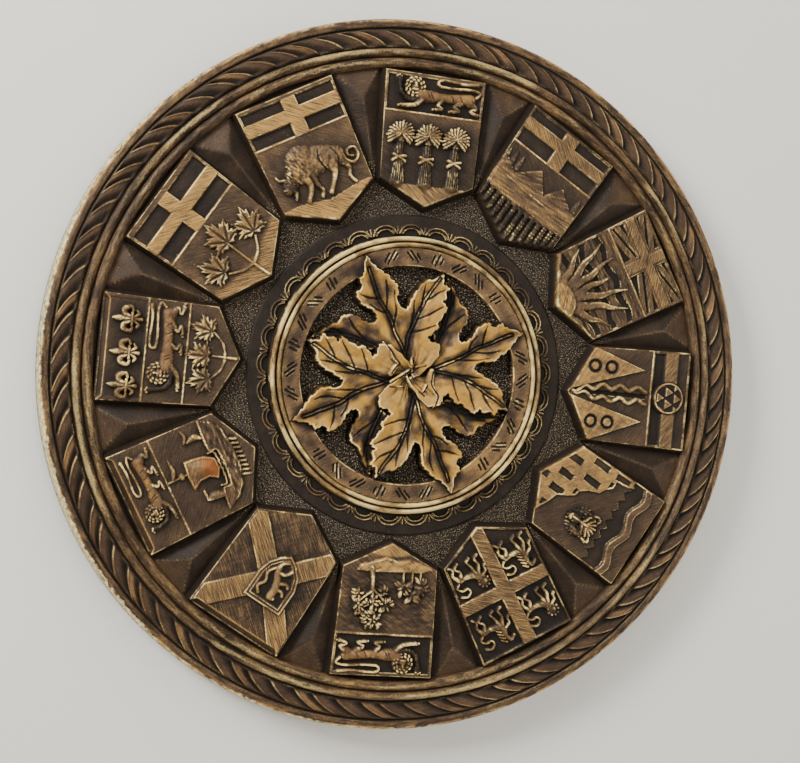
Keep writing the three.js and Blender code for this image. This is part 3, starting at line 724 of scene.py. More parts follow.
def disc_grid(radius, count):
    """A square grid pressed into a disc."""
    line = np.linspace(-1, 1, count)
    a, b = np.meshgrid(line, line)
    flat = np.abs(a) > np.abs(b)
    reach = np.where(flat, a, b)
    other = np.where(flat, b, a)
    turn = (math.pi / 4) * other / np.where(reach == 0, 1, reach)
    x = np.where(flat, reach * np.cos(turn), reach * np.sin(turn))
    y = np.where(flat, reach * np.sin(turn), reach * np.cos(turn))
    return x * radius, y * radius


def toothed(outline, tooth=0.34):
    """Adds a small tooth and a nick to each longer side of an outline."""
    points = []
    for (x0, y0), (x1, y1) in zip(outline, [*outline[1:], outline[0]]):
        dx, dy = x1 - x0, y1 - y0
        length = math.hypot(dx, dy)
        points.append((x0, y0))
        if length > 2.4:
            for share, out in ((0.5, tooth), (0.66, -tooth * 0.6)):
                points.append((x0 + dx * share - dy / length * out, y0 + dy * share + dx / length * out))
    return points


LEAF_EDGE = toothed(LEAF_RIGHT_EDGE + LEAF_LEFT_EDGE)


def leaf(relief, index):
    """One leaf laid over the medallion, its clockwise lobe uppermost and folded up along its ribs."""
    x, y = turned(relief.x, relief.y, index * TURN / LEAVES)
    sway = 7 * index
    x = x + 0.7 * noise(x + sway, y, 9, 15) + 0.14 * noise(x + sway, y, 2.6, 16)
    y = y + 0.7 * noise(x, y + sway, 9, 17) + 0.14 * noise(x, y + sway, 2.6, 18)
    own = Relief(x, y, 0.0, 0.0)
    distance = outline_distance(x, y, LEAF_EDGE)
    ribs = [stroke(x, y, curve([(px, py, 1.0) for px, py in rib])) for rib in LEAF_RIBS]
    nearest = np.minimum.reduce(ribs)
    bearing = np.degrees(np.arctan2(x - 1, np.clip(y, 0.5, None)))
    upper, lower = smooth((bearing - 12) / 14), smooth((-bearing - 8) / 12)
    inner = np.clip(-distance, 0, None)
    centre = smooth(1 - np.hypot(x, y) / 15)
    height = LEAF + 0.7 * upper - 1.2 * lower - 1.7 * centre
    height += 1.15 * smooth(nearest / 4.0) - 0.9 * smooth((inner - 0.8) / 3.6) * smooth(nearest / 5)
    height += 0.35 * ridge(inner - 0.5, 0.5) * (0.5 + 0.8 * noise(x, y, 5, 19))
    streaks = noise(bearing / 5, np.hypot(x, y) / 7, 1.0, 26)
    bumps = 0.35 * noise(x, y, 5.5, 12) + 0.14 * noise(x, y, 2.0, 13)
    height += bumps + 0.05 * noise(x, y, 0.9, 20) + 0.12 * streaks
    for rib in ribs:
        height += 0.25 * ridge(rib, 0.32) - 0.7 * ridge(rib - 0.6, 0.34)
    own.h = height
    own.cuts([[(px, py, w) for (px, py), w in zip(vein, (0.35, 0.6, 0.3))] for vein in LEAF_VEINS], 0.55)
    height = np.minimum(own.h, HIGHEST - 0.05)
    # Painted shade and highlight: lighter on the raised clockwise lobe, darker on the lower lobe beneath the
    # next leaf and towards the sunk middle.
    shade = 0.6 + 0.14 * upper - 0.22 * lower + 0.3 * noise(x, y, 5, 14) + 0.26 * streaks - 0.3 * centre
    shade -= 0.3 * ridge(nearest - 1.7, 0.9) + 0.6 * np.clip(own.tone, 0, 0.08) / 0.08
    shade -= 0.75 * ridge(nearest - 0.6, 0.45) + 0.3 * ridge(nearest, 0.3)
    # Painted highlight with wear: broken bright stretches along the rolled lobe edges.
    edge = ridge(inner - 0.4, 0.5) * smooth(0.3 + 1.5 * noise(x, y, 6, 24))
    shade = mix(shade, 1.2, edge)
    shade = mix(shade, 0.02, smooth((distance + 0.3) / 0.3))
    top = height - 5 * np.clip(distance + 0.12, 0, None)
    cover = smooth((top - relief.h) / 0.25 + 0.5) * (distance < 1.0)
    relief.h = np.where(distance < 3, soft_max(relief.h, top, 0.1), relief.h)
    relief.paint(cover, shade)
    relief.gilt = mix(relief.gilt, smooth(0.55 + 0.9 * noise(x, y, 3.4, 30)), cover)
    relief.stipple *= 1 - cover


CURLS = [
    [(-2.2, 6.6, 0.8), (-3.0, 9.4, 1.9), (-3.2, 12.6, 1.5), (-4.3, 16.8, 0.3)],
    [(9.2, -2.4, 1.2), (6.4, -6.4, 2.2), (6.4, -9.8, 2.0), (6.6, -12.6, 1.3), (3.2, -16.0, 0.3)],
    [(-1.3, -0.2, 0.6), (-0.8, -4.4, 0.9), (1.6, -9.8, 0.4)],
    [(-8.2, 0.9, 0.5), (-3.8, 1.4, 0.7), (0.6, 1.9, 0.6)],
    [(1.4, 4.2, 0.4), (2.4, 3.2, 1.1), (3.7, 6.2, 0.3)],
    [(3.8, 2.0, 0.4), (7.2, 1.0, 0.9)],
    [(-9.8, -0.4, 0.4), (-5.0, -3.2, 0.9)],
    [(2.0, -8.4, 0.5), (4.4, -6.6, 0.9)],
    [(-6.8, 4.2, 1.4), (-4.4, 5.6, 1.5), (-2.2, 6.2, 0.6)],
]


def medallion():
    """The band with its rows of strokes, the stippled field and the four leaves."""
    x, y = disc_grid(BAND_OUTER + 0.3, MEDALLION_POINTS)
    relief = Relief(x, y, GROUND + 0.2, 0.05)
    radius, angle = np.hypot(x, y), np.arctan2(x, y) % TURN
    stipple = noise(x, y, 0.8, 21) + 0.8 * noise(x, y, 1.4, 22)
    field = 1 - smooth((radius - BAND_INNER + 0.4) / 0.4)
    relief.h += 0.16 * field * stipple
    relief.paint(field * smooth(stipple - 0.2) * 0.6, 0.3)
    relief.stipple[:] = field
    relief.slab(np.maximum(BAND_INNER - radius, radius - BAND_OUTER), BAND, bevel=5, tone=0.45)
    relief.h += 0.08 * noise(x, y, 1.8, 23) * (1 - field)
    relief.tone += (0.14 * noise(x, y, 3.5, 25) + 0.16 * noise(x, y, 12, 27)) * (1 - field)
    quarter = TURN / LEAVES
    turn = (angle % quarter) - quarter / 2
    strokes = Relief(turn * 48, radius, 0.0, 0.0)
    for i in range(BAND_CUTS):
        at = (i - (BAND_CUTS - 1) / 2) * BAND_CUT_PITCH
        lean = (1.5, -1.5, 0.4)[i % 3]
        for side, reach in ((-1.8, 1.5), (0.0, 2.3), (1.8, 1.1)):
            strokes.cut([(at + side - lean * reach / 2, BAND_MIDDLE - reach, 0.5),
                         (at + side + lean * reach / 2, BAND_MIDDLE + reach, 0.5)], 0.7)
    relief.h += strokes.h
    relief.paint(np.clip(-strokes.h / 0.35, 0, 1), 0.05)
    for index in (2, 3, 0, 1):
        leaf(relief, index)
    for path in CURLS:
        relief.limb(path, 2.0, LEAF - 0.3, tone=0.62)
        relief.cut([(px + 0.4, py - 0.3, 0.5) for px, py, _ in path], 0.9, 0.2)
    relief.h += 0.16 * relief.figure * noise(x, y, 1.5, 29)
    relief.tone += 0.4 * relief.figure * noise(x, y, 1.8, 28)
    relief.h = np.minimum(relief.h, HIGHEST)
    return relief, np.stack([x, y, 0 * x], -1)


# Figures shared by the shields


def half_width(y):
    """Half the width of a shield's face at a height."""
    return CORNER_HALF + (TOP_HALF - CORNER_HALF) * (y - CORNER) / (TOP - CORNER)


def shield_grid():
    """Points over one shield's face and down its sloping walls, in the shield's own plane."""
    across = np.concatenate([-1 - SKIRT[:0:-1], np.linspace(-1, 1, SHIELD_COLUMNS), 1 + SKIRT[1:]])
    down = np.concatenate([-SKIRT[:0:-1], np.linspace(0, 1, SHIELD_ROWS), 1 + SKIRT[1:]])
    s, t = np.meshgrid(across, down)
    side, inner = np.clip(s, -1, 1), np.clip(t, 0, 1)
    y = TOP - inner * (TOP - CORNER) - inner**4 * (1 - np.abs(side)) * (CORNER - POINT)
    x = side * half_width(y)
    beyond, above, below = (np.clip(v, 0, None) for v in (np.abs(s) - 1, -t, t - 1))
    x = x + np.sign(s) * beyond
    y = y + above - below * 1.1 - beyond * 0.5 * (inner > 0.999)
    return x, y, overlap(beyond, above, below)


class Shield(Relief):
    """One shield's face, with its own outline distance."""

    def __init__(self, tone, grain):
        x, y, self.skirt = shield_grid()
        super().__init__(x, y, FACE, tone)
        slant = (POINT + np.abs(x) * (CORNER - POINT) / CORNER_HALF - y) * 0.89
        self.edge = overlap(np.abs(x) - half_width(y), y - TOP, slant)
        self.grain[:] = grain

    def part(self, low, high, left=-40.0, right=40.0, inset=0.9):
        """Distance to a stretch of the face, kept back from the edge."""
        return overlap(self.edge + inset, box_distance(self.x, self.y, left, right, low, high))

    def within(self, outline, inset=0.3):
        """Distance to an outline, kept back from the edge."""
        return overlap(outline_distance(self.x, self.y, outline), self.edge + inset)

    def bar(self, low, high, left=-40.0, right=40.0, height=FACE + 0.3, tone=0.7):
        """A raised bar of rubbed wood."""
        self.slab(self.part(low, high, left, right, 0.35), height, tone=tone, grain=0.8)

    def ledge(self, at, rise=0.4):
        """A thin raised line right across."""
        self.limb([(-20.5, at, 0.42), (20.8, at, 0.42)], rise, tone=0.7)

    def close(self):
        """Roughens the figures, cuts back to the outline and drops the sloping walls."""
        tooled = 0.13 * noise(self.x, self.y, 1.1, 33) + 0.1 * noise(self.x, self.y, 0.7, 34)
        self.h += self.figure * tooled
        self.tone += 0.12 * self.figure * noise(self.x, self.y, 2.0, 35)
        wall = np.interp(self.skirt, SKIRT, WALL_DROP)
        rough = 0.04 * noise(self.x, self.y, 0.9, 31) + 0.05 * noise(self.x, self.y, 2.6, 32)
        face = mix(np.minimum(self.h, FACE), self.h, smooth(-self.edge / 0.5))
        self.h = np.minimum(np.where(self.skirt > 0, FACE - wall, face) + rough, HIGHEST)
        self.paint(smooth(self.skirt / 0.6), 0.1, grain=0.0)


def cross_chief(shield, middle=114.0, centre=0.0, low=CHIEF, top=120.8, half=3.0, tone=0.72):
    """A light cross on a sunk dark field, over a thin ledge."""
    shield.sink(shield.part(low + 0.4, top), 1.0, tone=0.2, grain=0.2)
    shield.bar(middle - 2.5, middle + 2.5, tone=tone)
    shield.bar(low - 0.4, top, centre - half, centre + half, tone=tone)
    shield.ledge(low)


LION_LIMBS = [
    [(-6.8, 0.6, 3.0), (-2.5, 0.3, 2.8), (3.5, 0.4, 2.0), (9.5, 0.6, 2.3), (14.6, 0.9, 2.7)],
    [(-6.0, -1.2, 1.7), (-9.0, -4.0, 1.2), (-14.0, -4.9, 1.0)],
    [(2.6, -0.8, 1.4), (1.2, -3.2, 0.9), (3.0, -4.4, 0.7), (0.2, -5.0, 0.8)],
    [(10.6, -0.8, 1.8), (8.2, -3.0, 1.0), (10.2, -4.3, 0.8), (7.2, -5.0, 0.8)],
    [(14.6, -0.2, 2.3), (17.2, -2.4, 1.1), (15.2, -3.8, 0.8), (18.0, -5.0, 0.9)],
]
LION_RAISED = [(-7.0, -1.2, 1.7), (-11.4, -1.8, 1.4), (-14.6, 0.2, 1.2), (-15.6, 3.4, 1.1),
               (-15.8, 5.8, 1.7)]
LION_TAIL = [(17.2, 2.2, 0.7), (18.8, 4.2, 0.65), (15.0, 5.2, 0.65), (6.0, 4.7, 0.65), (1.2, 5.2, 0.7),
             (1.0, 7.1, 0.7), (4.0, 7.7, 0.65), (12.0, 7.2, 0.65), (17.6, 7.8, 0.9)]


LION_FACE = [[(-9.2, 4.9, 0.6), (-9.2, 2.8, 0.5)], [(-10.1, 2.2, 0.7), (-8.3, 2.2, 0.7)]]
LION_MARKS = [
    [(-10.7, 4.1, 0.4), (-10.0, 4.1, 0.4)], [(-8.4, 4.1, 0.4), (-7.7, 4.1, 0.4)],
    [(-9.7, 1.3, 0.35), (-8.7, 1.3, 0.35)],
]
LION_PAWS = ((-16.2, 7.0), (-14.6, -4.9), (0.0, -5.0), (7.0, -5.0), (18.3, -5.0))
LION_HEAD = (-9.2, 3.3)
LION_TONE = 0.48


def ring_of(count, radius, start=0.0):
    """Points around a circle."""
    turns = [math.radians(start) + i * TURN / count for i in range(count)]
    return [(radius * math.sin(a), radius * math.cos(a)) for a in turns]


def placed(points, x, y, scale=1.0, side=1):
    """A path moved to its place, scaled and mirrored where asked."""
    return [(x + px * scale * side, y + py * scale, w * scale) for px, py, w in points]


def lion(shield, x, y, scale, base, rise):
    """A walking lion with a long S tail, its maned head at the left facing out."""
    def at(paths):
        return [placed(path, x, y, scale) for path in paths]

    def boss(px, py, wide, high, height, tone, lean=0.0):
        place = x + px * scale, y + py * scale
        shield.dome(*place, wide * scale, high * scale, height, base, lean=lean, tone=LION_TONE + tone)

    shield.limbs(at([LION_RAISED]), rise * 0.85, base, tone=LION_TONE - 0.38)
    shield.limbs(at(LION_LIMBS[:1]), rise, base, tone=LION_TONE + 0.14, warm=0.12)
    shield.limbs(at(LION_LIMBS[1:]), rise, base, tone=LION_TONE)
    shield.limbs(at([LION_TAIL]), rise * 0.8, base, tone=LION_TONE + 0.12)
    shield.cuts(at([[(px, 1.6, 0.25), (px + 1.0, -0.6, 0.35)] for px in (-3.8, -2.6, 6.4, 10.0)]), 0.3, 0.2)
    head_x, head_y = LION_HEAD
    boss(head_x, head_y, 4.4, 4.6, rise * 0.8, -0.1)
    for reach, count, start, lift in ((3.9, 13, 0, 0.0), (2.7, 10, 20, 0.25)):
        for dx, dy in ring_of(count, reach, start):
            lean = math.degrees(math.atan2(dx, dy)) + 25
            boss(head_x + dx, head_y + dy, 1.1, 0.66, rise + lift, 0.1, lean)
    boss(head_x, head_y - 0.2, 2.1, 2.6, rise + 0.35, 0.1)
    shield.limbs(at(LION_FACE), rise + 0.6, base, tone=LION_TONE + 0.25)
    shield.cuts(at(LION_MARKS), 0.6)
    for px, py in LION_PAWS:
        for toe in (-0.9, 0.0, 0.9):
            boss(px + toe, py + 0.4 - abs(toe) * 0.5, 0.6, 0.6, rise * 0.85, 0.25)


def lion_chief(shield, low=CHIEF):
    """A lion in a sunk field at the top, over a thin ledge."""
    shield.sink(shield.part(low + 0.5, 121.0), 0.9, tone=0.13)
    shield.ledge(low)
    lion(shield, 0.6, 113.4, 0.98, FACE - 0.9, 2.1)


MAPLE_LOBES = ((0, 1.0), (52, 0.86), (104, 0.72))
MAPLE_TEETH = ((-21, 0.6), (-15, 0.8), (-9, 0.7), (0, 1.0), (9, 0.7), (15, 0.8), (21, 0.6))


def maple_leaf(shield, x, y, size, lean=0.0):
    """A small five-lobed leaf: every lobe has a tip, two pairs of teeth and a rib."""
    lobes = [(-angle, reach) for angle, reach in MAPLE_LOBES[:0:-1]] + list(MAPLE_LOBES)
    outline = []
    for angle, reach in lobes:
        for turn, share in MAPLE_TEETH:
            outline.append((angle + turn, reach * share))
        outline.append((angle + 27, 0.4))
    outline += [(150, 0.42), (175, 0.24), (185, 0.24), (210, 0.42)]

    def at(angle, reach):
        turn = math.radians(angle + lean)
        return x + size * reach * math.sin(turn), y + size * reach * math.cos(turn)
    distance = outline_distance(shield.x, shield.y, [at(*point) for point in outline])
    root = (*at(180, 0.2), 0.5)
    ribs = [np.array([root, (*at(angle, reach * 0.9), 0.3)]) for angle, reach in lobes]
    near = np.minimum.reduce([stroke(shield.x, shield.y, rib) for rib in ribs])
    top = FACE + 1.0 + 0.6 * smooth(near / 3) - 0.4 * ridge(near, 0.8)
    shield.raise_to(top - 4 * np.clip(distance + 0.1, 0, None), tone=0.6, grain=0.2)
    shield.paint(ridge(near, 0.7) * (distance < 0) * 0.5, 0.2)


# The twelve shields


def bison(shield):
    cross_chief(shield, middle=113.8, centre=0.7, tone=0.84)
    hill = [(-21, 79.4), (-12, 79.8), (-6, 78.8), (0, 77.4), (8, 78.6), (14, 79.4), (21, 79.2), (0, 66)]
    shield.slab(shield.within(hill), FACE + 0.4, tone=0.82, grain=1.0)
    shield.limbs([
        [(-2.6, 90.0, 1.8), (-2.4, 85.4, 1.2), (-1.2, 82.0, 0.9), (-2.2, 79.8, 0.9)],
        [(10.2, 90.0, 2.0), (12.4, 86.4, 1.1), (11.4, 83.0, 0.8), (12.6, 80.0, 0.9)],
    ], 1.5, tone=0.4)
    mass = shield.dome(-4.4, 95.2, 7.0, 6.8, 2.4, lean=25, tone=0.6)
    trunk = [(-9, 91.4, 4.6), (-2, 93.6, 6.2), (4.6, 93.4, 5.2), (9.0, 92.4, 4.3)]
    mass = np.maximum(mass, shield.limb(trunk, 2.0, tone=0.62))
    shield.limbs([
        [(-6.2, 90.0, 2.2), (-5.0, 85.4, 1.4), (-6.6, 82.0, 1.0), (-8.2, 79.8, 1.0)],
        [(6.4, 90.6, 2.9), (6.2, 86.8, 1.5), (4.2, 83.2, 1.0), (1.6, 79.8, 1.0)],
    ], 2.2, tone=0.68)
    shield.limb([(-12.2, 87.0, 1.9), (-12.0, 84.6, 1.3), (-12.8, 82.2, 0.5)], 1.9, tone=0.3)
    shield.dome(-12.4, 88.8, 3.5, 4.2, 2.5, lean=30, tone=0.4)
    shield.dome(-14.4, 86.6, 2.2, 1.7, 2.4, lean=35, tone=0.5)
    shield.dome(-11.2, 91.8, 3.3, 2.4, 2.7, lean=-20, tone=0.36)
    shield.limbs([
        [(-14.0, 91.0, 0.8), (-16.2, 91.8, 0.65), (-17.0, 93.6, 0.35)],
        [(-11.4, 92.8, 0.7), (-10.4, 94.2, 0.6), (-11.2, 96.0, 0.35)],
        [(12.0, 94.0, 0.7), (12.4, 89.6, 0.6), (15.0, 87.4, 0.6), (17.8, 89.4, 0.6), (17.4, 92.8, 0.6),
         (14.6, 93.0, 0.55), (13.8, 90.8, 0.5), (15.6, 89.8, 0.5)],
    ], 1.7, tone=0.7)
    front = smooth((-1.0 - shield.x) / 5)
    shield.hatch(mass * front, 112, 1.0, 0.3, 41, 2.6)
    shield.hatch(mass * (1 - front), 60, 1.4, 0.12, 42, 3.0)
    shield.cuts([[(-14.2, 89.4, 0.5), (-13.5, 89.4, 0.5)], [(-15.8, 86.6, 0.35), (-15.4, 86.6, 0.35)],
                 [(3.0, 97.4, 0.4), (2.0, 93.0, 0.6), (3.6, 88.6, 0.4)],
                 [(8.6, 95.6, 0.3), (9.6, 91.6, 0.5), (8.6, 88.4, 0.3)]], 0.6, 0.15)


def ear(x, near, tip, wide, out):
    """An ear of wheat that leans out of its sheaf and droops."""
    path = []
    for reach, bend, w in ((near, 0.0, 0.35), (mix(near, tip, 0.65), 0.05, wide), (tip, 0.12, 0.5)):
        droop = abs(0.5 * math.sin(out)) * bend * 6
        path.append((x + reach * math.sin(out + bend), 96.8 + reach * math.cos(out) * 0.95 - droop, w))
    return path


EAR_RINGS = ((17, 2.4, 5.7, 0.8, 1.8), (13, 1.4, 4.3, 0.75, 2.2), (7, 0.3, 2.6, 0.75, 2.5))


def sheaves(shield):
    shield.paint(smooth((shield.y - 98) / 8), 0.46)
    lion_chief(shield, low=106.2)
    shield.slab(shield.within([(-20, 77.0), (20, 77.2), (0, 66)]), FACE + 0.3, tone=0.66, grain=0.9)
    for x in (-12.6, -1.2, 10.4):
        shield.dome(x, 97.4, 5.0, 5.0, 1.3, tone=0.2)
        for count, near, far, wide, rise in EAR_RINGS:
            for i in range(count):
                out = math.radians(-128 + 256 * i / (count - 1))
                path = ear(x, near, far - 0.5 * (i % 2), wide, out)
                shield.limb(path, rise, tone=0.46 + 0.2 * (i % 2))
        stalks = [(x, 95.0, 2.0), (x, 91.4, 2.0), (x, 87.4, 2.3), (x, 82.0, 2.8), (x, 78.4, 3.3)]
        shield.limb(stalks, 1.6, tone=0.44)
        for k in range(-3, 4):
            straw = [(x + k * 0.5, 93.5, 0.3), (x + k * 0.6, 87.4, 0.3), (x + k, 78.0, 0.36)]
            shield.cut(straw, 0.5, 0.1)
        shield.limbs([[(x - 2.6, 86.0, 0.7), (x, 87.6, 0.75), (x + 2.6, 88.2, 0.6)],
                      [(x - 2.4, 88.4, 0.6), (x + 2.5, 86.0, 0.65)]], 2.1, tone=0.75)


def mountains(shield):
    cross_chief(shield, middle=114.9, top=121.4, half=3.2, tone=0.62)
    peaks = [(-21, 84), (-21, 95.4), (-17.6, 97.4), (-12.2, 93.8), (-9.0, 96.4), (-3.0, 101.6), (3.4, 93.2),
             (5.4, 96.2), (8.9, 101.0), (11.6, 98.2), (14.6, 96.4), (17.4, 94.6), (21, 93.8), (21, 84)]
    rock = shield.slab(shield.within(peaks, 0.5), FACE + 0.7, bevel=1.2, tone=0.5, grain=0.2)
    for x in (-19.0, -15.6, -12.4, 17.6):
        shield.limb([(x, 96.0, 1.3), (x, 98.6, 1.1), (x, 101.6, 0.4)], 0.7, tone=0.34)
    foot = 84.6 - 2.2 * np.cos(np.clip(shield.x / 20, -1, 1) * math.pi / 2)
    slopes = smooth((shield.y - foot) / 0.6) * smooth((95.4 - shield.y) / 3)
    shield.paint(slopes, 0.6)
    shield.hatch(slopes, 4, 1.0, 0.14, 45, 9.0)
    shield.hatch(rock * (1 - slopes), 24, 1.2, 0.16, 46, 8.0)
    ridge_line = [(-20, 91.4, 0.4), (-6, 90.6, 0.45), (8, 90.2, 0.45), (20, 91.4, 0.4)]
    shield.limb(ridge_line, 0.5, FACE + 0.5, tone=0.66)
    below = smooth((foot - shield.y) / 0.5) * (shield.edge < 0)
    shield.h -= 0.7 * below
    shield.paint(below, 0.04, grain=0.0)
    for i in range(13):
        x = -19.0 + i * 3.1
        low = POINT + abs(x) * (CORNER - POINT) / CORNER_HALF + 0.6
        high = 84.6 - 2.2 * math.cos(min(abs(x) / 20, 1) * math.pi / 2)
        shield.limb([(x, low, 0.8), (x, high - 1.2, 0.9), (x, high + 0.8, 0.4)], 0.9, FACE - 0.4, tone=0.2)
        for k in range(int((high - low) / 1.5)):
            y = high - 0.4 - 1.5 * k
            for side in (-0.5, 0.5):
                shield.dome(x + side, y, 0.5, 0.85, 1.1, FACE - 0.4, lean=side * 60, tone=0.26)


SUN = (-1.4, 69.4)
RAYS = ((-86, 19), (-61, 23), (-41, 25), (-27, 32), (-13, 31.5), (0, 27),
        (14, 32.5), (28, 32), (46, 26), (66, 21), (84, 19))


def ray(bearing, length, bend):
    """A tapering ray of the sun that sways to one side."""
    out = math.radians(bearing)
    path = []
    for reach, b, w in ((6.0, 0.0, 2.5), (0.42 * length, 0.5, 1.9), (0.62 * length, -0.45, 1.4),
                        (0.8 * length, 0.3, 0.9), (length, 0.0, 0.15)):
        x = SUN[0] + reach * math.sin(out) + b * bend * math.cos(out)
        path.append((x, SUN[1] + reach * math.cos(out) - b * bend * math.sin(out), w))
    return path


def sunrise(shield):
    shield.sink(shield.part(104.4, 121.6), 1.0, tone=0.08)
    for side in (-1, 1):
        for near, far in ((116.4, 121.9), (110.6, 105.0)):
            for shift in (-1.8, 1.8):
                ends = [(side * 3.6 - 0.8, near + shift), (side * 21, far + shift)]
                band = [(px, py - 1.2) for px, py in ends] + [(px, py + 1.2) for px, py in ends[::-1]]
                field = overlap(shield.within(band, 0.4), shield.part(104.6, 121.8, inset=0.4))
                shield.slab(field, FACE - 0.1, tone=0.46, grain=0.6)
    for grow, height, tone in ((1.2, FACE + 0.1, 0.5), (0.0, FACE + 0.6, 0.62)):
        shield.bar(112.0 - grow, 115.8 + grow, height=height, tone=tone)
        shield.bar(104.2, 121.8, -3.1 - grow, 1.3 + grow, height=height, tone=tone)
    shield.ledge(103.6)
    for i, level in enumerate((100.9, 97.2, 93.2, 89.2, 85.0, 80.8, 76.6)):
        wavy = level + 0.8 * np.sin((shield.x + 3 * i) / 14 * TURN) + 0.5 * noise(shield.x, shield.y, 6, 47)
        stripe = np.maximum(np.abs(shield.y - wavy) - 2.0 + 0.5 * (i % 2), shield.edge + 0.6)
        if i % 2:
            shield.sink(stripe, 0.7, tone=0.1)
        else:
            cover = smooth(-stripe / 0.4)
            shield.paint(cover, 0.42)
            shield.hatch(cover, 3, 1.0, 0.16, 50 + i, 8.0)
    for k, (bearing, length) in enumerate(RAYS):
        shield.limb(ray(bearing, length, 1.0 if k % 2 else -1.0), 1.2, tone=0.56, fall=4)
    sun = np.hypot(shield.x - SUN[0], shield.y - SUN[1]) - 8.3
    disc = shield.slab(np.maximum(sun, shield.edge + 0.2), FACE + 1.9, bevel=1.6, tone=0.72, grain=0.9)
    shield.hatch(disc, 2, 1.6, 0.1, 49)


BELLS = ((0, 4.0), (-5.2, 4.0), (5.2, 4.0), (-2.6, 0.1), (2.6, 0.1), (0, -3.8), (-5.2, -3.8), (5.2, -3.8))


def piles(shield):
    shield.sink(shield.part(106.0, 110.9), 1.0, tone=0.1)
    shield.sink(shield.part(117.0, 121.8, inset=0.4), 0.5, tone=0.24, grain=0.3)
    shield.bar(111.2, 116.7, tone=0.6, height=FACE + 0.35)
    shield.ledge(105.2, 0.6)
    for side, apex in ((-1, -11.6), (1, 10.2)):
        pile = [(apex, 101.8), (side * 19.8, 78.0), (side * 0.9, 68.0)]
        cover = shield.slab(shield.within(pile, 0.25), FACE + 0.9, bevel=4, tone=0.76, grain=0.5)
        shield.hatch(cover, 70, 1.9, 0.05, 51)
        for y in (86.8, 79.4):
            ring = ridge(np.hypot(shield.x - side * 11.6, shield.y - y) - 2.3, 0.55)
            shield.h -= 0.9 * ring
            shield.paint(np.clip(ring * 1.6, 0, 1), 0.0, grain=0.0)
    shield.sink(shield.part(66, 103.4, -1.7, 0.6, 0.4), 0.8, tone=0.02)
    for x in (-3.3, 1.9):
        wave = []
        for y in np.arange(70.5, 104, 1.3):
            middle = mix(-0.9, x, smooth((y - 68) / 16))
            sway = 0.9 * math.sin((y - 70) / 7.8 * TURN)
            wave.append((middle + sway, y, 0.5 + 0.45 * smooth((y - 69) / 12)))
        shield.limb(wave, 1.3, tone=0.62)
    x, y = -0.8, 113.3
    away = np.hypot(shield.x - x, shield.y - y)
    shield.slab(away - 6.9, FACE + 0.7, tone=0.05, grain=0.0)
    shield.raise_to(FACE + 1.6 - 2.6 * np.abs(away - 6.2), tone=0.8)
    for dx, dy in BELLS:
        bell = [(x + dx - 2.0, y + dy - 1.6), (x + dx, y + dy + 1.7), (x + dx + 2.0, y + dy - 1.6)]
        shield.slab(np.maximum(outline_distance(shield.x, shield.y, bell), away - 5.8), FACE + 1.3, tone=0.6)


def bear_face(shield, x, y):
    """A bear's face, seen from the front: round ears, a broad brow, a long nose and ruffed cheeks."""
    def at(points, side=1):
        return placed(points, x, y, side=side)
    shield.dome(x, y + 0.4, 6.6, 7.6, 1.3, tone=0.2)
    for (nx, ny), (fx, fy) in zip(ring_of(27, 5.2), ring_of(27, 6.5, 5)):
        shield.limb(at([(nx, ny * 1.1, 0.8), (fx, fy * 1.1, 0.4)]), 0.8, tone=0.2)
    shield.dome(x + 0.3, y + 3.4, 4.0, 3.6, 2.3, tone=0.54, warm=0.25)
    shield.dome(x, y - 3.4, 3.0, 3.6, 1.9, tone=0.36)
    for bearing in (-58, -34, -10, 14, 38, 62):
        turn = math.radians(bearing)
        tuft = [(1.0 * math.sin(turn), 2.4, 0.4), (4.4 * math.sin(turn), 2.2 + 4.4 * math.cos(turn), 0.6)]
        shield.limb(at(tuft), 2.5, tone=0.56)
    for side, tone in ((-1, 0.24), (1, 0.5)):
        ear_rim = [(3.6, 6.2, 0.5), (5.0, 6.8, 0.8), (5.8, 5.6, 0.9), (5.4, 3.8, 0.6)]
        shield.limb(at(ear_rim, side), 1.4, tone=tone)
        shield.dome(x + side * 4.4, y - 0.8, 2.0, 3.4, 1.7, lean=side * 12, tone=tone)
        cheek = smooth((side * (shield.x - x) - 2.6) / 0.6) * (shield.figure > 0.5)
        shield.hatch(cheek * (np.abs(shield.y - y) < 7), 70 * side, 0.9, 0.2, 57, 2.4)
        shield.cut(at([(1.5, -0.4, 0.8), (3.0, -0.8, 0.7)], side), 1.0)
        brow = [(0.8, 0.3, 0.6), (1.9, 1.2, 0.6), (3.4, 1.5, 0.5), (4.2, 2.4, 0.3)]
        shield.limb(at(brow, side), 2.5, tone=0.66)
        shield.dome(x + side * 2.3, y - 0.7, 0.5, 0.45, 1.9, tone=0.6)
        shield.cut(at([(1.9, -2.2, 0.5), (2.3, -4.4, 0.5), (1.7, -6.0, 0.4)], side), 0.5)
    shield.limb(at([(0, 2.6, 1.2), (0, -1.6, 0.8), (0, -4.8, 1.0)]), 2.7, tone=0.62)
    shield.limb(at([(-1.2, -5.4, 0.5), (0, -5.9, 0.8), (1.2, -5.4, 0.5)]), 2.7, tone=0.66)
    shield.cut(at([(-1.2, -7.0, 0.4), (0, -7.3, 0.4), (1.2, -7.0, 0.4)]), 0.6)


TOWN = [
    (-21, 106.4), (-18.6, 106.4), (-17.6, 107.6), (-16.2, 105.2), (-15.4, 99.4), (-12.2, 99.6), (-9.8, 97.0),
    (-7.0, 95.4), (-5.4, 91.0), (-2.8, 87.8), (-0.4, 87.2), (1.6, 84.4), (4.0, 80.2), (8.8, 78.6),
    (11.6, 77.0), (14.6, 75.6), (16, 74), (0, 66), (-21, 77),
]
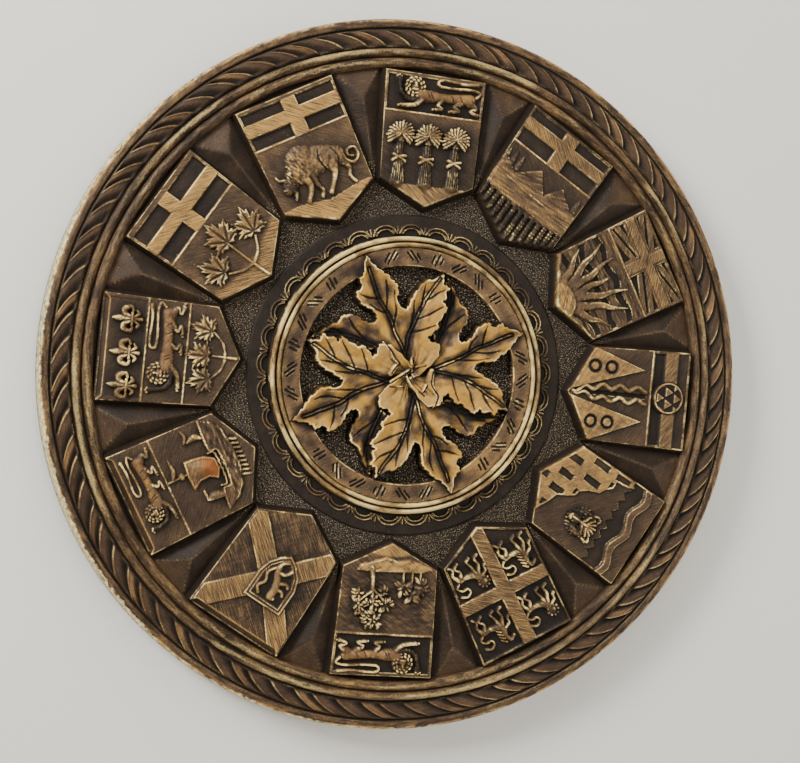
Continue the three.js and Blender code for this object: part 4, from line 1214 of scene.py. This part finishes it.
# Rows of sunk squares in the town: their middle height, half height and places across
HOLES = (
    (101.4, 3.6, (-17.4,)), (90.0, 4.1, (-17.4, -9.3)), (78.8, 3.5, (-13.2, -5.6, 1.9)),
    (77.0, 1.6, (9.6,)), (71.0, 1.7, (-8.0, -0.8, 6.4)), (98.6, 1.5, (-12.6,)), (87.4, 2.0, (-1.6,)),
)


def towers(shield):
    line = 114.4 + 1.3 * np.sin((shield.x + 3.4) / 15.8 * TURN)
    river = np.maximum(np.abs(shield.y - line) - 1.6, shield.edge + 0.3)
    shield.slab(river, FACE + 0.7, tone=0.56, grain=0.3)
    shield.paint(smooth((-river - 0.5) / 0.3) * 0.6, 0.34)
    teeth = 105.8 + 1.3 * (4 * np.abs(((shield.x + 20.9) / 4.75) % 1 - 0.5) - 1)
    shield.sink(overlap(teeth - shield.y, shield.y - line + 2.2, shield.edge + 0.5), 0.7, tone=0.2)
    outside = shield.within(TOWN)
    wall = shield.slab(outside, FACE + 0.9, bevel=4, tone=0.78, grain=0.3)
    shield.hatch(wall, 84, 2.4, 0.05, 53)
    for y, high, places in HOLES:
        for x in places:
            hole = box_distance(shield.x, shield.y, x - 1.6, x + 1.6, y - high, y + high)
            shield.sink(np.maximum(hole, outside + 0.5), 0.8, tone=0.3)
    bear_face(shield, 7.4, 96.0)


BEAST_LIMBS = [
    [(-3.6, 2.8, 1.9), (-1.6, 1.0, 1.8), (2.0, 0.3, 1.3), (4.8, 0.4, 1.7)],
    [(-3.6, 1.0, 1.1), (-4.8, -2.4, 0.75), (-4.2, -5.2, 0.65), (-5.8, -6.4, 0.7)],
    [(-2.4, 0.4, 1.1), (-1.6, -2.8, 0.7), (-0.6, -5.2, 0.6), (-2.2, -6.4, 0.65)],
    [(-4.4, 2.4, 0.85), (-6.6, 1.2, 0.7), (-6.8, -0.8, 0.6), (-7.6, -1.6, 0.6)],
    [(4.4, 0.2, 1.3), (3.4, -2.6, 0.75), (5.0, -4.8, 0.6), (3.2, -6.4, 0.65)],
    [(5.2, 0.2, 1.3), (6.8, -2.4, 0.75), (6.0, -4.8, 0.6), (7.4, -6.4, 0.65)],
]
BEAST_TAIL = [(5.8, 1.6, 0.5), (7.2, 3.2, 0.5), (5.6, 4.8, 0.5), (3.2, 4.8, 0.5), (2.6, 6.6, 0.5),
              (4.4, 8.0, 0.5), (6.6, 7.2, 0.7)]
LONG_NECK = [(-3.2, 3.2, 1.8), (-3.4, 6.0, 1.2), (-4.8, 7.8, 1.0), (-6.6, 6.8, 0.7)]


def small_beast(shield, x, y, maned):
    """A walking beast that faces left: a lion with a round mane, or one with a horse's neck."""
    base, rise = FACE - 0.9, 2.0

    def at(path):
        return placed(path, x, y)
    shield.limbs([at(path) for path in BEAST_LIMBS], rise, base, tone=0.46)
    shield.limb(at(BEAST_TAIL), rise * 0.85, base, tone=0.62)
    if maned:
        shield.dome(x - 4.4, y + 5.0, 2.5, 2.8, rise, base, tone=0.36)
        for dx, dy in ring_of(9, 2.3):
            shield.dome(x - 4.4 + dx, y + 5.0 + dy, 0.6, 0.75, rise + 0.1, base, tone=0.5)
        shield.dome(x - 4.8, y + 4.8, 1.2, 1.5, rise + 0.4, base, tone=0.62)
    else:
        shield.limb(at(LONG_NECK), rise, base, tone=0.5)
        for k in range(5):
            lock = [(-2.6 + 0.3 * k, 8.0 - 1.6 * k, 0.6), (-0.9 + 0.3 * k, 6.8 - 1.6 * k, 0.3)]
            shield.limb(at(lock), rise, base, tone=0.68)
    shield.cut(at([(-5.6, 6.0, 0.4), (-5.2, 6.0, 0.4)]), 0.6)


def quarters(shield):
    shield.sink(shield.part(100.4, 121.6, inset=0.6), 0.9, tone=0.06)
    shield.sink(shield.part(60, 95.2, inset=0.8), 0.9, tone=0.12, grain=0.1)
    lean = -0.4 - (shield.y - 97) * 0.045
    post = overlap(shield.edge + 0.3, np.abs(shield.x - lean) - 2.9)
    shield.slab(post, FACE + 0.4, tone=0.6, grain=0.9)
    shield.bar(95.1, 100.5, tone=0.6, height=FACE + 0.4)
    small_beast(shield, -11.2, 109.6, True)
    small_beast(shield, 10.4, 109.6, False)
    small_beast(shield, -10.6, 85.4, False)
    small_beast(shield, 10.6, 85.4, True)


def crown(shield, x, y, radius, leaves, seed, grow=1.0):
    """A tree's crown of small leaves."""
    spread = np.random.default_rng(seed)
    shield.dome(x, y, radius, radius, 1.1, tone=0.16)
    for _ in range(leaves):
        out, reach = spread.uniform(0, TURN), radius * math.sqrt(spread.uniform(0.02, 1))
        size, height = grow * spread.uniform(0.75, 1.15), spread.uniform(1.4, 2.4)
        shield.dome(x + reach * math.cos(out), y + reach * math.sin(out), size * 1.5, size * 0.7, height,
                    lean=-math.degrees(out) + spread.uniform(-35, 35), tone=spread.uniform(0.25, 0.65))


# Each crown's middle, radius, number of leaves and seed
CROWNS = (
    (6.2, 99.2, 4.2, 34, 61), (1.2, 93.8, 3.2, 22, 62), (11.8, 94.0, 3.6, 26, 63),
    (6.6, 92.8, 3.2, 16, 64), (12.8, 88.6, 2.2, 10, 65), (2.0, 88.6, 2.0, 9, 66),
)
ISLAND = [(-17, 78.2), (-12, 79.6), (-4, 79.6), (4, 80.0), (13.4, 79.8), (12, 77.6),
          (6, 75.8), (2, 74.6), (-3, 75.6), (-8, 75.0), (-13, 76.6)]


def oak(shield):
    lion_chief(shield)
    shield.hatch(smooth((104 - shield.y) / 1) * smooth((shield.y - 80) / 3), 2, 1.8, 0.1, 60)
    shield.limbs([
        [(7.8, 78.4, 1.7), (7.0, 83.0, 1.0), (6.6, 90.0, 0.9), (6.2, 97.0, 0.6)],
        [(6.8, 87.0, 0.6), (2.6, 91.0, 0.4)], [(6.8, 88.0, 0.6), (11.4, 91.6, 0.4)],
    ], 1.6, tone=0.56)
    for x, y, radius, leaves, seed in CROWNS:
        crown(shield, x, y, radius, leaves, seed)
    for x, y, seed in ((-12.6, 85.6, 67), (-9.2, 89.4, 68), (-5.6, 85.8, 69)):
        shield.limb([(x, 78.6, 0.5), (x, y, 0.5)], 1.2, tone=0.52)
        crown(shield, x, y, 3.0, 13, seed, 1.3)
    turf = shield.slab(shield.within(ISLAND), FACE + 1.0, bevel=1.5, tone=0.78, grain=0.6)
    shield.hatch(turf, 20, 1.8, 0.16, 70)
    shield.paint(smooth((74.6 - shield.y - 0.08 * shield.x**2 * 0.3) / 1.0), 0.8, grain=0.9)


CREST = [(-12.0, 108.6), (5.2, 108.6), (5.2, 97.4), (3.8, 92.6), (0.6, 88.8),
         (-3.0, 86.4), (-6.8, 88.8), (-10.4, 92.6), (-12.0, 97.4)]
CREST_BEAST = [
    [(-4.6, 101.4, 1.6), (-3.6, 98.0, 1.5), (-1.8, 95.2, 1.3), (-1.2, 93.2, 1.4)],
    [(-4.4, 100.8, 0.9), (-7.2, 100.4, 0.8), (-8.4, 101.6, 0.7)],
    [(-4.0, 98.4, 0.9), (-7.2, 97.0, 0.8), (-8.6, 97.8, 0.7)],
    [(-1.8, 94.6, 1.0), (-5.0, 93.8, 0.8), (-6.4, 91.6, 0.8)],
    [(-1.0, 93.0, 1.0), (-1.6, 90.6, 0.8), (-3.4, 89.4, 0.7)],
    [(0.0, 93.4, 0.6), (1.8, 96.6, 0.6), (0.6, 100.0, 0.6), (2.2, 103.0, 0.6), (0.6, 105.2, 0.7)],
    [(-4.6, 102.0, 1.5), (-4.4, 104.2, 1.5), (-5.8, 104.4, 0.9)],
]


def saltire(shield):
    shield.hatch(shield.edge < 0, 52, 1.3, 0.05, 71, 7.0)
    x0, y0 = -1.0, 98.4
    for x1, y1 in ((-18.6, 118.6), (18.6, 118.6), (-17.4, 81.0), (17.4, 81.0)):
        length = math.hypot(x1 - x0, y1 - y0)
        nx, ny = (x1 - x0) / length, (y1 - y0) / length
        over = np.abs((shield.y - y0) * nx - (shield.x - x0) * ny)
        ahead = (shield.x - x0) * nx + (shield.y - y0) * ny
        band = overlap(over - 4.2, -ahead, shield.edge + 0.5)
        shield.slab(band, FACE + 0.9, bevel=4, tone=0.66, grain=0.9)
    inner = outline_distance(shield.x, shield.y, CREST)
    shield.slab(inner, FACE + 1.5, bevel=4, tone=0.4, grain=0.1)
    shield.raise_to(FACE + 2.2 - 2.8 * np.abs(inner + 0.5), tone=0.8)
    shield.raise_to(FACE + 2.1 - 2.8 * np.abs(inner + 1.7), tone=0.7)
    shield.paint(smooth((-inner - 2.3) / 0.4), 0.06)
    shield.limbs(CREST_BEAST, 1.1, FACE + 1.6, tone=0.66)


HULL = [
    (-17.4, 87.6), (-14.8, 86.2), (-9.6, 86.6), (-8.4, 82.8), (5.6, 82.4), (7.0, 85.4), (12.0, 84.8),
    (19.2, 84.8), (16.6, 80.6), (12.6, 77.8), (4.0, 76.6), (-5.0, 77.0), (-11.0, 79.2), (-14.6, 82.4),
]
RAILS = [
    [(-17.2, 87.2, 0.5), (-9.4, 86.2, 0.5), (-8.2, 82.6, 0.5),
     (5.4, 82.2, 0.5), (7.0, 85.4, 0.5), (19.0, 85.0, 0.5)],
    [(-7.8, 86.4, 0.4), (-7.0, 84.0, 0.4), (4.6, 83.8, 0.4), (5.8, 86.4, 0.4)],
]
SAIL = [
    (-5.0, 96.6), (0.6, 97.0), (6.4, 96.2), (6.2, 92.6), (5.4, 88.4),
    (3.2, 84.8), (-1.0, 84.4), (-4.6, 86.4), (-2.6, 89.4), (-2.8, 93.4),
]
PENNANTS = [
    [(2.2, 102.8, 0.5), (5.0, 101.4, 1.0), (9.8, 101.6, 0.3)],
    [(-11.6, 86.8, 0.9), (-10.4, 90.0, 1.9), (-10.8, 93.2, 0.9)], [(-10.8, 93.6, 0.6), (-7.2, 93.6, 0.6)],
    [(12.4, 86.2, 0.6), (13.8, 88.6, 1.4), (13.0, 92.0, 0.6)],
    [(13.0, 93.4, 0.5), (15.4, 92.0, 0.8), (18.4, 92.8, 0.3)], [(-12.2, 86.4, 0.4), (-11.0, 93.8, 0.4)],
]


def ship(shield):
    shield.ledge(CHIEF)
    lion(shield, 1.4, 111.6, 0.86, FACE - 0.1, 1.7)
    planks = shield.slab(shield.within(HULL), FACE + 1.3, bevel=1.6, tone=0.44, grain=0.2)
    shield.hatch(planks * smooth((85 - shield.y) / 1), -3, 1.4, 0.22, 72)
    shield.limbs(RAILS, 1.9, tone=0.7)
    inside = outline_distance(shield.x, shield.y, SAIL)
    copper = smooth((93.4 - shield.y - 0.3 * shield.x) / 5)
    belly = FACE + 1.0 + 1.8 * smooth(-inside / 4) - 3 * np.clip(inside + 0.1, 0, None)
    shield.raise_to(belly, tone=0.62, grain=0.4, warm=copper)
    shield.raise_to(FACE + 1.7 - 2.6 * np.abs(inside + 0.3), tone=0.85, warm=0.2)
    shield.limb([(1.6, 97.2, 0.4), (1.6, 104.8, 0.4)], 1.1, tone=0.66)
    shield.dome(1.6, 99.2, 1.6, 1.2, 1.7, tone=0.66)
    shield.limbs(PENNANTS, 1.4, tone=0.6)
    for i in range(9):
        x = -7.8 + i * 1.9
        shield.limb([(x - 0.8, 74.0, 0.45), (x + 0.4, 77.0, 0.5)], 0.9, tone=0.6)
        shield.cut([(x + 0.4, 73.8, 0.35), (x + 1.2, 76.0, 0.4)], 0.5)


def lily(shield, x, y):
    """A lily flower: an upright petal, two that curl out, a band and three feet."""
    paths = [[(x, y + 6.4, 0.3), (x, y + 3.8, 1.4), (x, y + 1.0, 1.1), (x, y - 1.6, 0.7), (x, y - 4.4, 0.9)]]
    for s in (-1, 1):
        paths.append([(x + s * 0.9, y - 0.6, 0.7), (x + s * 1.9, y + 1.7, 1.3), (x + s * 3.8, y + 1.9, 1.3),
                      (x + s * 4.7, y - 0.4, 0.9), (x + s * 3.3, y - 1.3, 0.7)])
        paths.append([(x + s * 0.7, y - 1.6, 0.6), (x + s * 2.0, y - 3.4, 0.9), (x + s * 3.2, y - 2.8, 0.6)])
    shield.limbs(paths, 2.1, FACE - 0.2, tone=0.56)
    shield.limb([(x - 2.4, y - 1.0, 0.7), (x + 2.4, y - 1.0, 0.7)], 2.4, FACE - 0.2, tone=0.72)


def lilies(shield):
    shield.sink(shield.part(CHIEF + 0.6, 120.6), 0.3, tone=0.28, grain=None)
    for x in (-14.4, -1.6, 11.4):
        lily(shield, x, 112.4)
    shield.ledge(CHIEF, 0.6)
    shield.ledge(89.5, 0.6)
    lion(shield, 0.4, 96.6, 0.98, FACE - 0.1, 1.6)
    shield.limbs([
        [(-9.0, 79.6, 0.45), (-5.0, 75.8, 0.45), (-0.4, 74.4, 0.45)],
        [(9.4, 79.6, 0.45), (5.4, 75.8, 0.45), (0.2, 74.4, 0.45)],
        [(0.1, 79.4, 0.45), (-0.2, 70.0, 0.7)],
    ], 0.9, tone=0.56)
    for x, y, lean in ((-9.4, 81.8, -16), (-0.2, 83.0, 0), (10.0, 82.0, 14)):
        maple_leaf(shield, x, y, 7.2, lean)


def maple_sprig(shield):
    cross_chief(shield, middle=111.2, centre=-0.6, low=101.8, top=120.2, half=2.9, tone=0.84)
    shield.paint(smooth((79.5 - shield.y + 0.2 * np.abs(shield.x)) / 3), 0.7, grain=0.9)
    shield.limbs([
        [(-0.2, 90.0, 0.55), (-0.4, 78.0, 0.55), (-0.2, 69.4, 0.8)],
        [(-9.4, 82.0, 0.5), (-5.0, 78.4, 0.5), (-0.4, 76.8, 0.5)],
        [(8.8, 82.6, 0.5), (4.8, 78.6, 0.5), (-0.3, 76.8, 0.5)],
    ], 1.2, tone=0.66)
    maple_leaf(shield, 0.2, 91.6, 9.4)
    maple_leaf(shield, -10.8, 85.6, 9.0, -24)
    maple_leaf(shield, 10.6, 86.0, 9.0, 22)


def bevelled_top(shield):
    """The sloping top edge that some of the shields have, mitred at both corners."""
    mitre = TOP - 2.0 + np.clip(np.abs(shield.x) - TOP_HALF + 2.0, 0, None)
    slope = FACE - 0.75 * np.clip(shield.y - mitre, 0, None)
    cover = (shield.y > mitre) * (shield.skirt == 0)
    shield.h = np.where(cover, np.minimum(shield.h, slope), shield.h)
    shield.paint(cover * 0.9, 0.26, grain=0.0)
    crease = ridge(shield.y - mitre, 0.3) * (shield.skirt == 0)
    shield.paint(crease, 0.9)


# Each shield's figures with the tone and the grain of its bare face
ARMS = [
    (bison, 0.44, 0.3), (sheaves, 0.22, 0.3), (mountains, 0.3, 0.3), (sunrise, 0.42, 0.3),
    (piles, 0.36, 0.3), (towers, 0.36, 0.3), (quarters, 0.26, 0.3), (oak, 0.4, 0.5),
    (saltire, 0.38, 0.8), (ship, 0.36, 0.3), (lilies, 0.34, 0.1), (maple_sprig, 0.42, 0.3),
]


def shield_piece(index, material):
    """One shield, turned to its place around the plaque."""
    arms, tone, grain = ARMS[index]
    shield = Shield(tone, grain)
    arms(shield)
    if index in BEVELLED:
        bevelled_top(shield)
    shield.close()
    name = f"shield_{arms.__name__}"
    across, up = turned(shield.x, shield.y, -GRAIN_LEAN)
    place = np.stack([across, up + 40 * index, 0 * across], -1)
    # The last figure is the lift, which scales the shield's painted shade and highlight.
    layers = finish_layers(shield, place, False, FACE - 1.2, 1.0, 0.06)
    x, y = turned(shield.x, shield.y, index * TURN / SHIELDS)
    add_piece(name, closed_mesh(name, x, y, shield.h, layers, False), material)


BACK_TONE = 0.62
BACK_RADII = [2, *np.linspace(12, OUTER - 4, 14), OUTER - 2.2, OUTER - 1.2, OUTER - 0.4]


def back(material):
    """The flat back: a plain thin plate, a little uneven behind."""
    _, _, x, y = ring_grid(BACK_COLUMNS, BACK_RADII)
    low = np.clip(0.12 + 0.1 * noise(x, y, 14, 81) + 0.05 * noise(x, y, 4, 82), 0, None)
    low[-3], low[-2], low[-1] = 0.0, 0.2, 0.7
    count = x.size
    sides = [np.stack([x, -h, y], -1).reshape(-1, 3) for h in (np.full(x.shape, BACK_PLATE), low)]
    points = np.concatenate([*sides, [(0, -BACK_PLATE, 0), (0, -0.1, 0)]])
    index = np.arange(count).reshape(x.shape)
    right = np.roll(index, -1, 1)
    face = np.stack([index[:-1], right[:-1], right[1:], index[1:]], -1).reshape(-1, 4)
    edge = np.stack([index[-1], right[-1], right[-1] + count, index[-1] + count], -1)
    hub = 2 * count
    faces = face.tolist() + (face[:, ::-1] + count).tolist() + edge.tolist()
    faces += [(hub, int(r), int(i)) for i, r in zip(index[0], right[0])]
    faces += [(hub + 1, int(i) + count, int(r) + count) for i, r in zip(index[0], right[0])]
    mesh = bpy.data.meshes.new("plaque_back")
    mesh.from_pydata((points * MM).tolist(), [], faces)
    layers = {name: np.zeros((len(points), 1)) for name in (*PAINTED, "wear", "pit")}
    layers["tone"] += BACK_TONE
    layers["place"] = points[:, [0, 2, 1]]
    store_layers(mesh, layers)
    add_piece("plaque_back", mesh, material)


# Each round part, whether it joins up, the height that its wear starts from, its rub and its lift, which
# scales its painted shade and highlight
ROUNDS = [
    (rim, True, 0.0, 0.62, 0.0), (ground, True, 0.0, 0.35, 0.0),
    (collar, True, 0.0, 0.95, 0.0), (medallion, False, BAND - 0.6, 1.15, 0.18),
]


def build():
    material = stained_wood()
    for make, wrap, floor, rub, lift in ROUNDS:
        name = f"plaque_{make.__name__}"
        relief, place = make()
        layers = finish_layers(relief, place, wrap, floor, rub, lift)
        add_piece(name, closed_mesh(name, relief.x, relief.y, relief.h, layers, wrap), material)
    for index in range(SHIELDS):
        shield_piece(index, material)
    back(material)


# The picture: a pale wall, soft light from the upper left and a camera a little left of square


CAMERA_AZIMUTH, CAMERA_ELEVATION, CAMERA_ROLL = (math.radians(a) for a in (-12.5426, 0.6211, 0.1739))
CAMERA_DISTANCE = 514.805
CAMERA_TARGET = Vector((-3.7503, -19.2, -2.5164))
FOCAL_PIXELS = 1271.45
PHOTO_WIDTH = 800
PAINT = colour(240, 236, 226)
PAINT_DARK = colour(232, 228, 218)
WALL_GAP = 0.0008
FLOOR_LEVEL = -1.0
SKY_COLOUR = (0.86, 0.87, 0.9, 1)
SKY_STRENGTH = 0.24

# Each light's name, place and size in metres, and power in watts
LIGHTS = (
    ("key", (-0.85, -0.62, 0.62), 0.42, 20),
    ("fill", (0.95, -0.8, -0.1), 1.2, 5),
    ("top", (0.1, -0.7, 1.1), 0.9, 7),
    ("front", (0.1, -1.5, 0.1), 0.5, 6),
    ("behind", (0.3, 1.2, 0.6), 1.2, 6),
)


def hung(vector):
    """Turns a direction or point of the picture's frame into the hung plaque's."""
    return Matrix.Rotation(PHOTO_TURN, 3, "Y") @ vector


def camera():
    a, e, r = CAMERA_AZIMUTH, CAMERA_ELEVATION, CAMERA_ROLL
    back_way = Vector((math.sin(a) * math.cos(e), -math.cos(a) * math.cos(e), math.sin(e)))
    level = Vector((math.cos(a), math.sin(a), 0))
    upright = back_way.cross(level)
    right = math.cos(r) * level + math.sin(r) * upright
    up = math.cos(r) * upright - math.sin(r) * level
    axes = [hung(v) for v in (right, up, back_way)]
    data = bpy.data.cameras.new("camera")
    data.sensor_width = 36
    data.lens = FOCAL_PIXELS / PHOTO_WIDTH * data.sensor_width
    data.clip_start, data.clip_end = 0.01, 20
    holder = bpy.data.objects.new("camera", data)
    bpy.context.scene.collection.objects.link(holder)
    spot = hung(CAMERA_TARGET + back_way * CAMERA_DISTANCE) * MM
    holder.matrix_world = Matrix.Translation(spot) @ Matrix(axes).transposed().to_4x4()
    bpy.context.scene.camera = holder


def light(name, where, size, power):
    """A soft panel light that faces the plaque, placed in the picture's frame in metres."""
    data = bpy.data.lights.new(name, "AREA")
    data.size = size
    data.energy = power
    holder = bpy.data.objects.new(name, data)
    bpy.context.scene.collection.objects.link(holder)
    spot = hung(Vector(where))
    holder.matrix_world = Matrix.Translation(spot) @ (-spot).to_track_quat("-Z", "Y").to_matrix().to_4x4()


def plain(name, hidden_back):
    """Pale matt paint, which can be seen through from behind where asked."""
    tree = Tree(name)
    place = tree.add("TexCoord").outputs["Object"]
    base = tree.blend(tree.noise(place, 3.0, 3), PAINT_DARK, PAINT)
    surface = tree.add("BsdfPrincipled", {"Base Color": base, "Roughness": 0.9}).outputs[0]
    if hidden_back:
        clear = tree.add("BsdfTransparent").outputs[0]
        behind = tree.add("NewGeometry").outputs["Backfacing"]
        surface = tree.add("MixShader", {0: behind, 1: surface, 2: clear}).outputs[0]
    tree.add("OutputMaterial", {"Surface": surface})
    return tree.material


def sheet(name, centre, normal, half, material):
    """A flat square of the stage that faces along its normal."""
    data = bpy.data.meshes.new(name)
    turn = Vector(normal).to_track_quat("Z", "Y").to_matrix()
    square = ((-half, -half, 0), (half, -half, 0), (half, half, 0), (-half, half, 0))
    corners = [tuple(Vector(centre) + turn @ Vector(corner)) for corner in square]
    data.from_pydata(corners, [], [(0, 1, 2, 3)])
    data.materials.append(material)
    holder = bpy.data.objects.new(name, data)
    bpy.context.scene.collection.objects.link(holder)
    return holder


def stage():
    wall = sheet("wall", (0, WALL_GAP, 0), (0, -1, 0), 1.6, plain("pale_wall", True))
    wall.visible_shadow = False
    sheet("floor", (0, 0, FLOOR_LEVEL), (0, 0, 1), 2.5, plain("pale_floor", False))
    for row in LIGHTS:
        light(*row)
    world = bpy.data.worlds.new("studio")
    world.use_nodes = True
    backdrop = world.node_tree.nodes["Background"].inputs
    backdrop["Color"].default_value = SKY_COLOUR
    backdrop["Strength"].default_value = SKY_STRENGTH
    bpy.context.scene.world = world


build()
camera()
stage()
